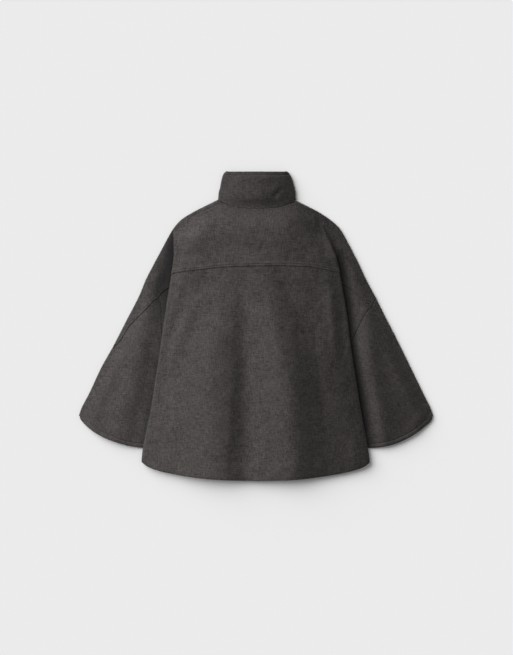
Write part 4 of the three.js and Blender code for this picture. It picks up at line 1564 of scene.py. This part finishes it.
# %% [markdown]
# ## Node trees as plain expressions
#
# `NodeTree` builds any tree one node at a time, for materials here and for the stitches further down.
# `Value` wraps one socket of a shader tree. Adding or multiplying two of them adds the matching Math
# node, so a formula reads like a formula. Nodes are mostly joined by hand in the editor, but in a
# script a sum is shorter, and easier to check.

# %% Sums and products of sockets
class Value:
    """One output of a shader node that can be used in sums and products."""

    def __init__(self, shader, socket):
        self.shader = shader
        self.socket = socket

    def math(self, operation, first, second):
        made = self.shader.node("ShaderNodeMath", {"operation": operation}, {0: first, 1: second})
        return Value(self.shader, made.outputs[0])

    def __add__(self, other):
        return self.math("ADD", self, other)

    def __sub__(self, other):
        return self.math("SUBTRACT", self, other)

    def __mul__(self, other):
        return self.math("MULTIPLY", self, other)


# %% Building a tree
class NodeTree:
    """A node tree, built one node at a time."""

    def __init__(self, tree):
        self.tree = tree
        self.tree.nodes.clear()

    def node(self, kind, settings=None, inputs=None):
        made = self.tree.nodes.new(kind)
        for name, value in (settings or {}).items():
            setattr(made, name, value)
        for name, value in (inputs or {}).items():
            self.feed(made.inputs[name], value)
        return made

    def feed(self, socket, value):
        if isinstance(value, Value):
            value = value.socket
        if isinstance(value, bpy.types.NodeSocket):
            self.tree.links.new(value, socket)
        else:
            socket.default_value = value


# %% Building a material
# Sockets of a Mix node for colours
MIX_FACTOR, MIX_LOW, MIX_HIGH, MIX_RESULT = 0, 6, 7, 2


class Shader(NodeTree):
    """The node tree of a material."""

    def __init__(self, name):
        self.material = bpy.data.materials.new(name)
        self.material.use_nodes = True
        super().__init__(self.material.node_tree)

    def attribute(self, name, output):
        return self.node("ShaderNodeAttribute", {"attribute_name": name}).outputs[output]

    def noise(self, where, scale, detail=2.0, roughness=0.5):
        values = {"Vector": where, "Scale": scale, "Detail": detail, "Roughness": roughness}
        return Value(self, self.node("ShaderNodeTexNoise", {}, values).outputs[0])

    def scaled(self, where, sizes):
        made = self.node("ShaderNodeVectorMath", {"operation": "MULTIPLY"}, {0: where, 1: sizes})
        return made.outputs[0]

    def mixed(self, share, low, high):
        colours = {MIX_FACTOR: share, MIX_LOW: low, MIX_HIGH: high}
        return self.node("ShaderNodeMix", {"data_type": "RGBA"}, colours).outputs[MIX_RESULT]

    def painted(self, values):
        """Ends the tree with one Principled surface and gives back the material."""
        surface = self.node("ShaderNodeBsdfPrincipled", {}, values)
        self.node("ShaderNodeOutputMaterial", {}, {"Surface": surface.outputs["BSDF"]})
        return self.material


def plain(name, values):
    return Shader(name).painted(values)


# %% [markdown]
# ## The wool
#
# The cloth is a brushed melange: dark yarn with lighter and warmer hairs in it. Three sizes of noise
# make it. The broadest is the nap lying this way and that, the middle one the clumps of the milled
# surface, the finest the single hairs. Two stretched noises, one along and one across, stand for the
# weave under the nap. They feed colour and bump. All of them read object coordinates in metres.
#
# A picture of cloth could be laid on instead, but it would repeat and stretch. Noise doesn't, and its
# sizes are real ones. Hair particles would be far too many for a coat.

# %% The colours and sizes of the wool
WOOL = {"dark": (0.018, 0.0158, 0.0151, 1), "light": (0.078, 0.0705, 0.0682, 1), "bump": 0.6}
COLLAR_WOOL = {"dark": (0.014, 0.0124, 0.0119, 1), "light": (0.066, 0.0596, 0.0577, 1), "bump": 0.6}
NAP_SCALE = 38
CLUMP_SCALE = 300
HAIR_SCALE = 1500
WEAVE_SIZES = (0.012, 0.0019)
# Near-black that the painted shade beside the torso's folded edge mixes into the colour
PAINTED_SHADE_BLACK = (0.004, 0.0037, 0.0037, 1)
THREAD = {"Base Color": (0.03, 0.028, 0.027, 1), "Roughness": 0.6, "Sheen Weight": 0.1}
WOOL_SURFACE = {
    "Roughness": 0.92,
    "Specular IOR Level": 0.18,
    "Sheen Weight": 0.12,
    "Sheen Roughness": 0.45,
    "Sheen Tint": (0.8, 0.76, 0.74, 1),
}

# How far each noise changes the share of light hairs, and the height of the surface
LIGHT_BY = {"nap": 0.4, "clump": 0.9, "hair": 0.9, "weave": 2.3}
HEIGHT_BY = {"clump": 0.5, "hair": 0.22, "weave": 0.3}
RELIEF_SIZE = 0.0011
MIDDLE = 0.5
print("colours and sizes are set for", len(LIGHT_BY), "noises")


# %% The material of the wool
def wool_noises(shader):
    """The noises of the cloth by name. Each wanders about the same middle."""
    where = shader.node("ShaderNodeTexCoord").outputs["Object"]
    long_way, short_way = (1 / size for size in WEAVE_SIZES)
    down = shader.noise(shader.scaled(where, (short_way, long_way, long_way)), 1.0)
    across = shader.noise(shader.scaled(where, (long_way, short_way, long_way)), 1.0)
    return {
        "nap": shader.noise(where, NAP_SCALE, 3),
        "clump": shader.noise(where, CLUMP_SCALE, 3, 0.6),
        "hair": shader.noise(where, HAIR_SCALE, 2, 0.6),
        "weave": (down + across) * 0.5,
    }


def weighted(noises, weights):
    """The noises' distances from the middle, each times its weight, added to the middle."""
    total = MIDDLE
    for kind, weight in weights.items():
        total = (noises[kind] - MIDDLE) * weight + total
    return total


def hairs_way(shader):
    """The nap's direction in the world, as the normal that the bump starts from."""
    turned = {"vector_type": "NORMAL", "convert_from": "OBJECT", "convert_to": "WORLD"}
    stored = {"Vector": shader.attribute("nap", "Vector")}
    return shader.node("ShaderNodeVectorTransform", turned, stored).outputs[0]


def wool(name, look):
    shader = Shader(name)
    noises = wool_noises(shader)
    cloth_colour = shader.mixed(weighted(noises, LIGHT_BY), look["dark"], look["light"])
    relief = {
        "Strength": look["bump"],
        "Distance": RELIEF_SIZE,
        "Height": weighted(noises, HEIGHT_BY),
        "Normal": hairs_way(shader),
    }
    bump = shader.node("ShaderNodeBump", {}, relief)
    # The stored shade value mixes the colour towards near-black: painted shade beside the torso's folded
    # edge
    colour = shader.mixed(shader.attribute("painted_shade", "Fac"), cloth_colour, PAINTED_SHADE_BLACK)
    return shader.painted({**WOOL_SURFACE, "Base Color": colour, "Normal": bump.outputs["Normal"]})


wool_material = wool("melange wool", WOOL)
collar_material = wool("melange wool of the collar", COLLAR_WOOL)
thread_material = plain("charcoal thread", THREAD)
for name, piece in cloth.items():
    piece.data.materials.append(collar_material if name == "collar" else wool_material)
print("materials:", wool_material.name, "|", collar_material.name, "|", thread_material.name)

# %% [markdown]
# ## Topstitching
#
# Every stitched line is found first: a panel's border line, moved inwards by the distance a tailor
# would sew at, then dropped from above onto the cloth. Where the torso's fold covers the line, the
# ray from above meets another panel first, and the line is cut there.
#
# A Geometry Nodes tree then sets the stitches. It turns the line into a curve, spreads points along
# it at the stitch length and puts a small thread on each, turned along the line. An Array modifier on
# a curve could repeat a stitch too, but it bends each copy, and one tree serves all lines here.

# %% Lines of stitching on the cloth
LINE_STEP = 1.5
RAY_START = 0.06


def moved_sideways(line, distance):
    """The line in the plane, moved to its left by the distance (to its right if it is negative)."""
    lengths = lengths_of(line[:, :2])
    places = np.linspace(0, lengths[-1], max(2, round(lengths[-1] / LINE_STEP)) + 1)
    spots = np.stack([np.interp(places, lengths, line[:, k]) for k in (0, 1)], axis=-1)
    way = np.gradient(spots, axis=0)
    way = way / np.maximum(np.linalg.norm(way, axis=1, keepdims=True), TINY)
    return spots + distance * np.column_stack([-way[:, 1], way[:, 0]])


def tree_of(piece):
    corners = [vertex.co.copy() for vertex in piece.data.vertices]
    faces = [list(face.vertices) for face in piece.data.polygons]
    return BVHTree.FromPolygons(corners, faces)


trees = {name: tree_of(piece) for name, piece in cloth.items()}


def dropped(x, y):
    """Name and point of the topmost panel under a spot, or nothing."""
    start, down = Vector((x * MM, y * MM, RAY_START)), Vector((0, 0, -1))
    found = {name: tree.ray_cast(start, down)[0] for name, tree in trees.items()}
    found = {name: point for name, point in found.items() if point is not None}
    top = max(found, key=lambda name: found[name].z, default=None)
    return top, found.get(top)


def stitch_chain(panel, line, distance):
    """Points on the cloth and the edges between them, cut where another panel covers the line."""
    points, edges = [], []
    joined = False
    for x, y in moved_sideways(np.asarray(line, float), distance):
        name, point = dropped(x, y)
        shown = name == panel.name
        if shown:
            points.append(point)
            if joined:
                edges.append((len(points) - 2, len(points) - 1))
        joined = shown
    return points, edges


print("lines of stitching:", sum(len(panel.stitching) for panel in panels))


# %% The tree that sets the stitches
class Geometry(NodeTree):
    """A Geometry Nodes tree with named inputs and outputs."""

    def __init__(self, name):
        super().__init__(bpy.data.node_groups.new(name, "GeometryNodeTree"))

    def socket(self, name, kind, way="INPUT"):
        return self.tree.interface.new_socket(name, in_out=way, socket_type=kind)


def stitch_tree():
    geometry = Geometry("stitches along a line")
    geometry.socket("Line", "NodeSocketGeometry")
    geometry.socket("Pitch", "NodeSocketFloat")
    geometry.socket("Stitch size", "NodeSocketVector")
    geometry.socket("Thread", "NodeSocketMaterial")
    geometry.socket("Stitches", "NodeSocketGeometry", "OUTPUT")
    given = geometry.node("NodeGroupInput").outputs

    def step(kind, settings, inputs):
        return geometry.node(kind, settings, inputs).outputs[0]

    curve = step("GeometryNodeMeshToCurve", {}, {"Mesh": given["Line"]})
    pitch = {"Curve": curve, "Length": given["Pitch"]}
    spread = step("GeometryNodeResampleCurve", {"mode": "LENGTH"}, pitch)
    bead = step("GeometryNodeMeshUVSphere", {}, {"Segments": 8, "Rings": 5, "Radius": 0.5})
    sized = step("GeometryNodeTransform", {}, {"Geometry": bead, "Scale": given["Stitch size"]})
    way = step("GeometryNodeInputTangent", {}, {})
    turn = step("FunctionNodeAlignRotationToVector", {"axis": "X"}, {"Vector": way})
    stitch = {"Points": spread, "Instance": sized, "Rotation": turn}
    placed = step("GeometryNodeInstanceOnPoints", {}, stitch)
    solid = step("GeometryNodeRealizeInstances", {}, {"Geometry": placed})
    thread = {"Geometry": solid, "Material": given["Thread"]}
    painted = step("GeometryNodeSetMaterial", {}, thread)
    geometry.node("NodeGroupOutput", {}, {"Stitches": painted})
    return geometry.tree


STITCH_TREE = stitch_tree()
print(STITCH_TREE.name, "has", len(STITCH_TREE.nodes), "nodes")

# %% Growing the stitches
STITCH_PITCH = 3.6 * MM
STITCH_SIZE = (2.9 * MM, 0.75 * MM, 0.6 * MM)


def identifiers(tree):
    return {item.name: item.identifier for item in tree.interface.items_tree if item.in_out == "INPUT"}


def grown(name, source, tree, values):
    """A plain mesh object from a node tree: inputs set, evaluated once, modifier gone."""
    modifier = source.modifiers.new("grow", "NODES")
    modifier.node_group = tree
    known = identifiers(tree)
    for label, value in values.items():
        modifier[known[label]] = value
    shown = source.evaluated_get(bpy.context.evaluated_depsgraph_get())
    mesh = bpy.data.meshes.new_from_object(shown)
    mesh.name = name
    bpy.data.objects.remove(source)
    return add_object(name, mesh)


def stitches_of(panel):
    points, edges = [], []
    for line, distance in panel.stitching:
        more_points, more_edges = stitch_chain(panel, line, distance)
        edges += [(a + len(points), b + len(points)) for a, b in more_edges]
        points += more_points
    mesh = bpy.data.meshes.new("line")
    mesh.from_pydata(points, edges, [])
    values = {"Pitch": STITCH_PITCH, "Stitch size": STITCH_SIZE, "Thread": thread_material}
    return grown("stitches_" + panel.name, add_object("line", mesh), STITCH_TREE, values)


stitches = {panel.name: stitches_of(panel) for panel in panels if panel.stitching}
for name, piece in stitches.items():
    print("stitches on", name, len(piece.data.polygons), "faces")

# %% [markdown]
# ## What belongs to what
#
# Each cloth piece and its stitches stand for its plain solid, which is hidden, and ride on the coat's
# only body. The table lists the size that each piece was cut to. The area is smaller than width times
# length because no panel is a rectangle. The sizes are the pattern's, measured along the cloth and round
# its folds.

# %% Bodies and cut sizes
# Name, then cut width, cut length and area of the cut in metres, and the pieces it lies on
CUTS = (
    ("front_left", 0.32, 0.715, 0.1885, ("cloth_front_right",)),
    ("front_right", 0.345, 0.715, 0.1915, ()),
    ("sleeve_front_left", 0.25, 0.43, 0.0594, ()),
    ("sleeve_front_right", 0.25, 0.385, 0.0551, ()),
    ("sleeve_back_left", 0.24, 0.385, 0.052, ("cloth_sleeve_front_left",)),
    ("sleeve_back_right", 0.24, 0.36, 0.051, ("cloth_sleeve_front_right",)),
    ("back_body", 0.66, 0.55, 0.308, ("cloth_front_left", "cloth_front_right")),
    ("back_yoke", 0.64, 0.27, 0.081, ("cloth_front_left", "cloth_front_right")),
    ("collar", 0.47, 0.11, 0.0435, ()),
)


def declare(name, width, length, area, rests_on):
    piece = cloth[name]
    sewn = [stitches[name]] if name in stitches else []
    for one in (piece, *sewn):
        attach(one, "root")
    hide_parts(name)


for cut in CUTS:
    declare(*cut)
print("declared", len(CUTS), "sheets of cloth")

# %% [markdown]
# ## Floor, light and camera
#
# The photograph is a cut-out on a pale ground with one soft shadow, below and to the right. A wide sun
# from the upper left makes it, and an even sky lifts the dark side. A studio with several lamps could
# be built, but it would give several shadows. The camera looks straight down.

# %% The floor
FLOOR_SIZE = 8
FLOOR_LOOK = {"Base Color": (0.775, 0.775, 0.775, 1), "Roughness": 0.9, "Specular IOR Level": 0.1}
FLOOR_GAP = 0.0002


def floor():
    half = FLOOR_SIZE / 2
    corners = [(-half, -half), (half, -half), (half, half), (-half, half)]
    mesh = bpy.data.meshes.new("floor")
    mesh.from_pydata([(x, y, -FLOOR_GAP) for x, y in corners], [], [(0, 1, 2, 3)])
    mesh.materials.append(plain("pale ground", FLOOR_LOOK))
    return add_object("floor", mesh)


floor()
print("the floor is", FLOOR_SIZE, "m wide")

# %% The sun and the sky
SUN_STRENGTH = 4.4
SUN_SPREAD = 60
SUN_TILT = 58
SUN_FROM = 140
SKY_STRENGTH = 0.33


def sun():
    light = bpy.data.lights.new("soft sun", "SUN")
    light.energy = SUN_STRENGTH
    light.angle = math.radians(SUN_SPREAD)
    lamp = add_object("soft sun", light)
    lamp.rotation_euler = (math.radians(SUN_TILT), 0, math.radians(SUN_FROM + 90))


def sky():
    world = bpy.data.worlds.new("even sky")
    world.use_nodes = True
    background = world.node_tree.nodes["Background"].inputs
    background["Strength"].default_value = SKY_STRENGTH
    background["Color"].default_value = (1, 1, 1, 1)
    bpy.context.scene.world = world


sun()
sky()
print("sun and sky are set")

# %% The camera
CAMERA_PLACE = (0.0013, -0.0038, 4.0)
CAMERA_LENS = 85.9
CAMERA_SENSOR = 36


def camera():
    data = bpy.data.cameras.new("camera")
    data.sensor_width = CAMERA_SENSOR
    data.lens = CAMERA_LENS
    made = add_object("camera", data)
    made.location = CAMERA_PLACE
    bpy.context.scene.camera = made


bpy.context.scene.view_settings.view_transform = "Standard"
camera()
print("the camera is", CAMERA_PLACE[2], "m above the floor")
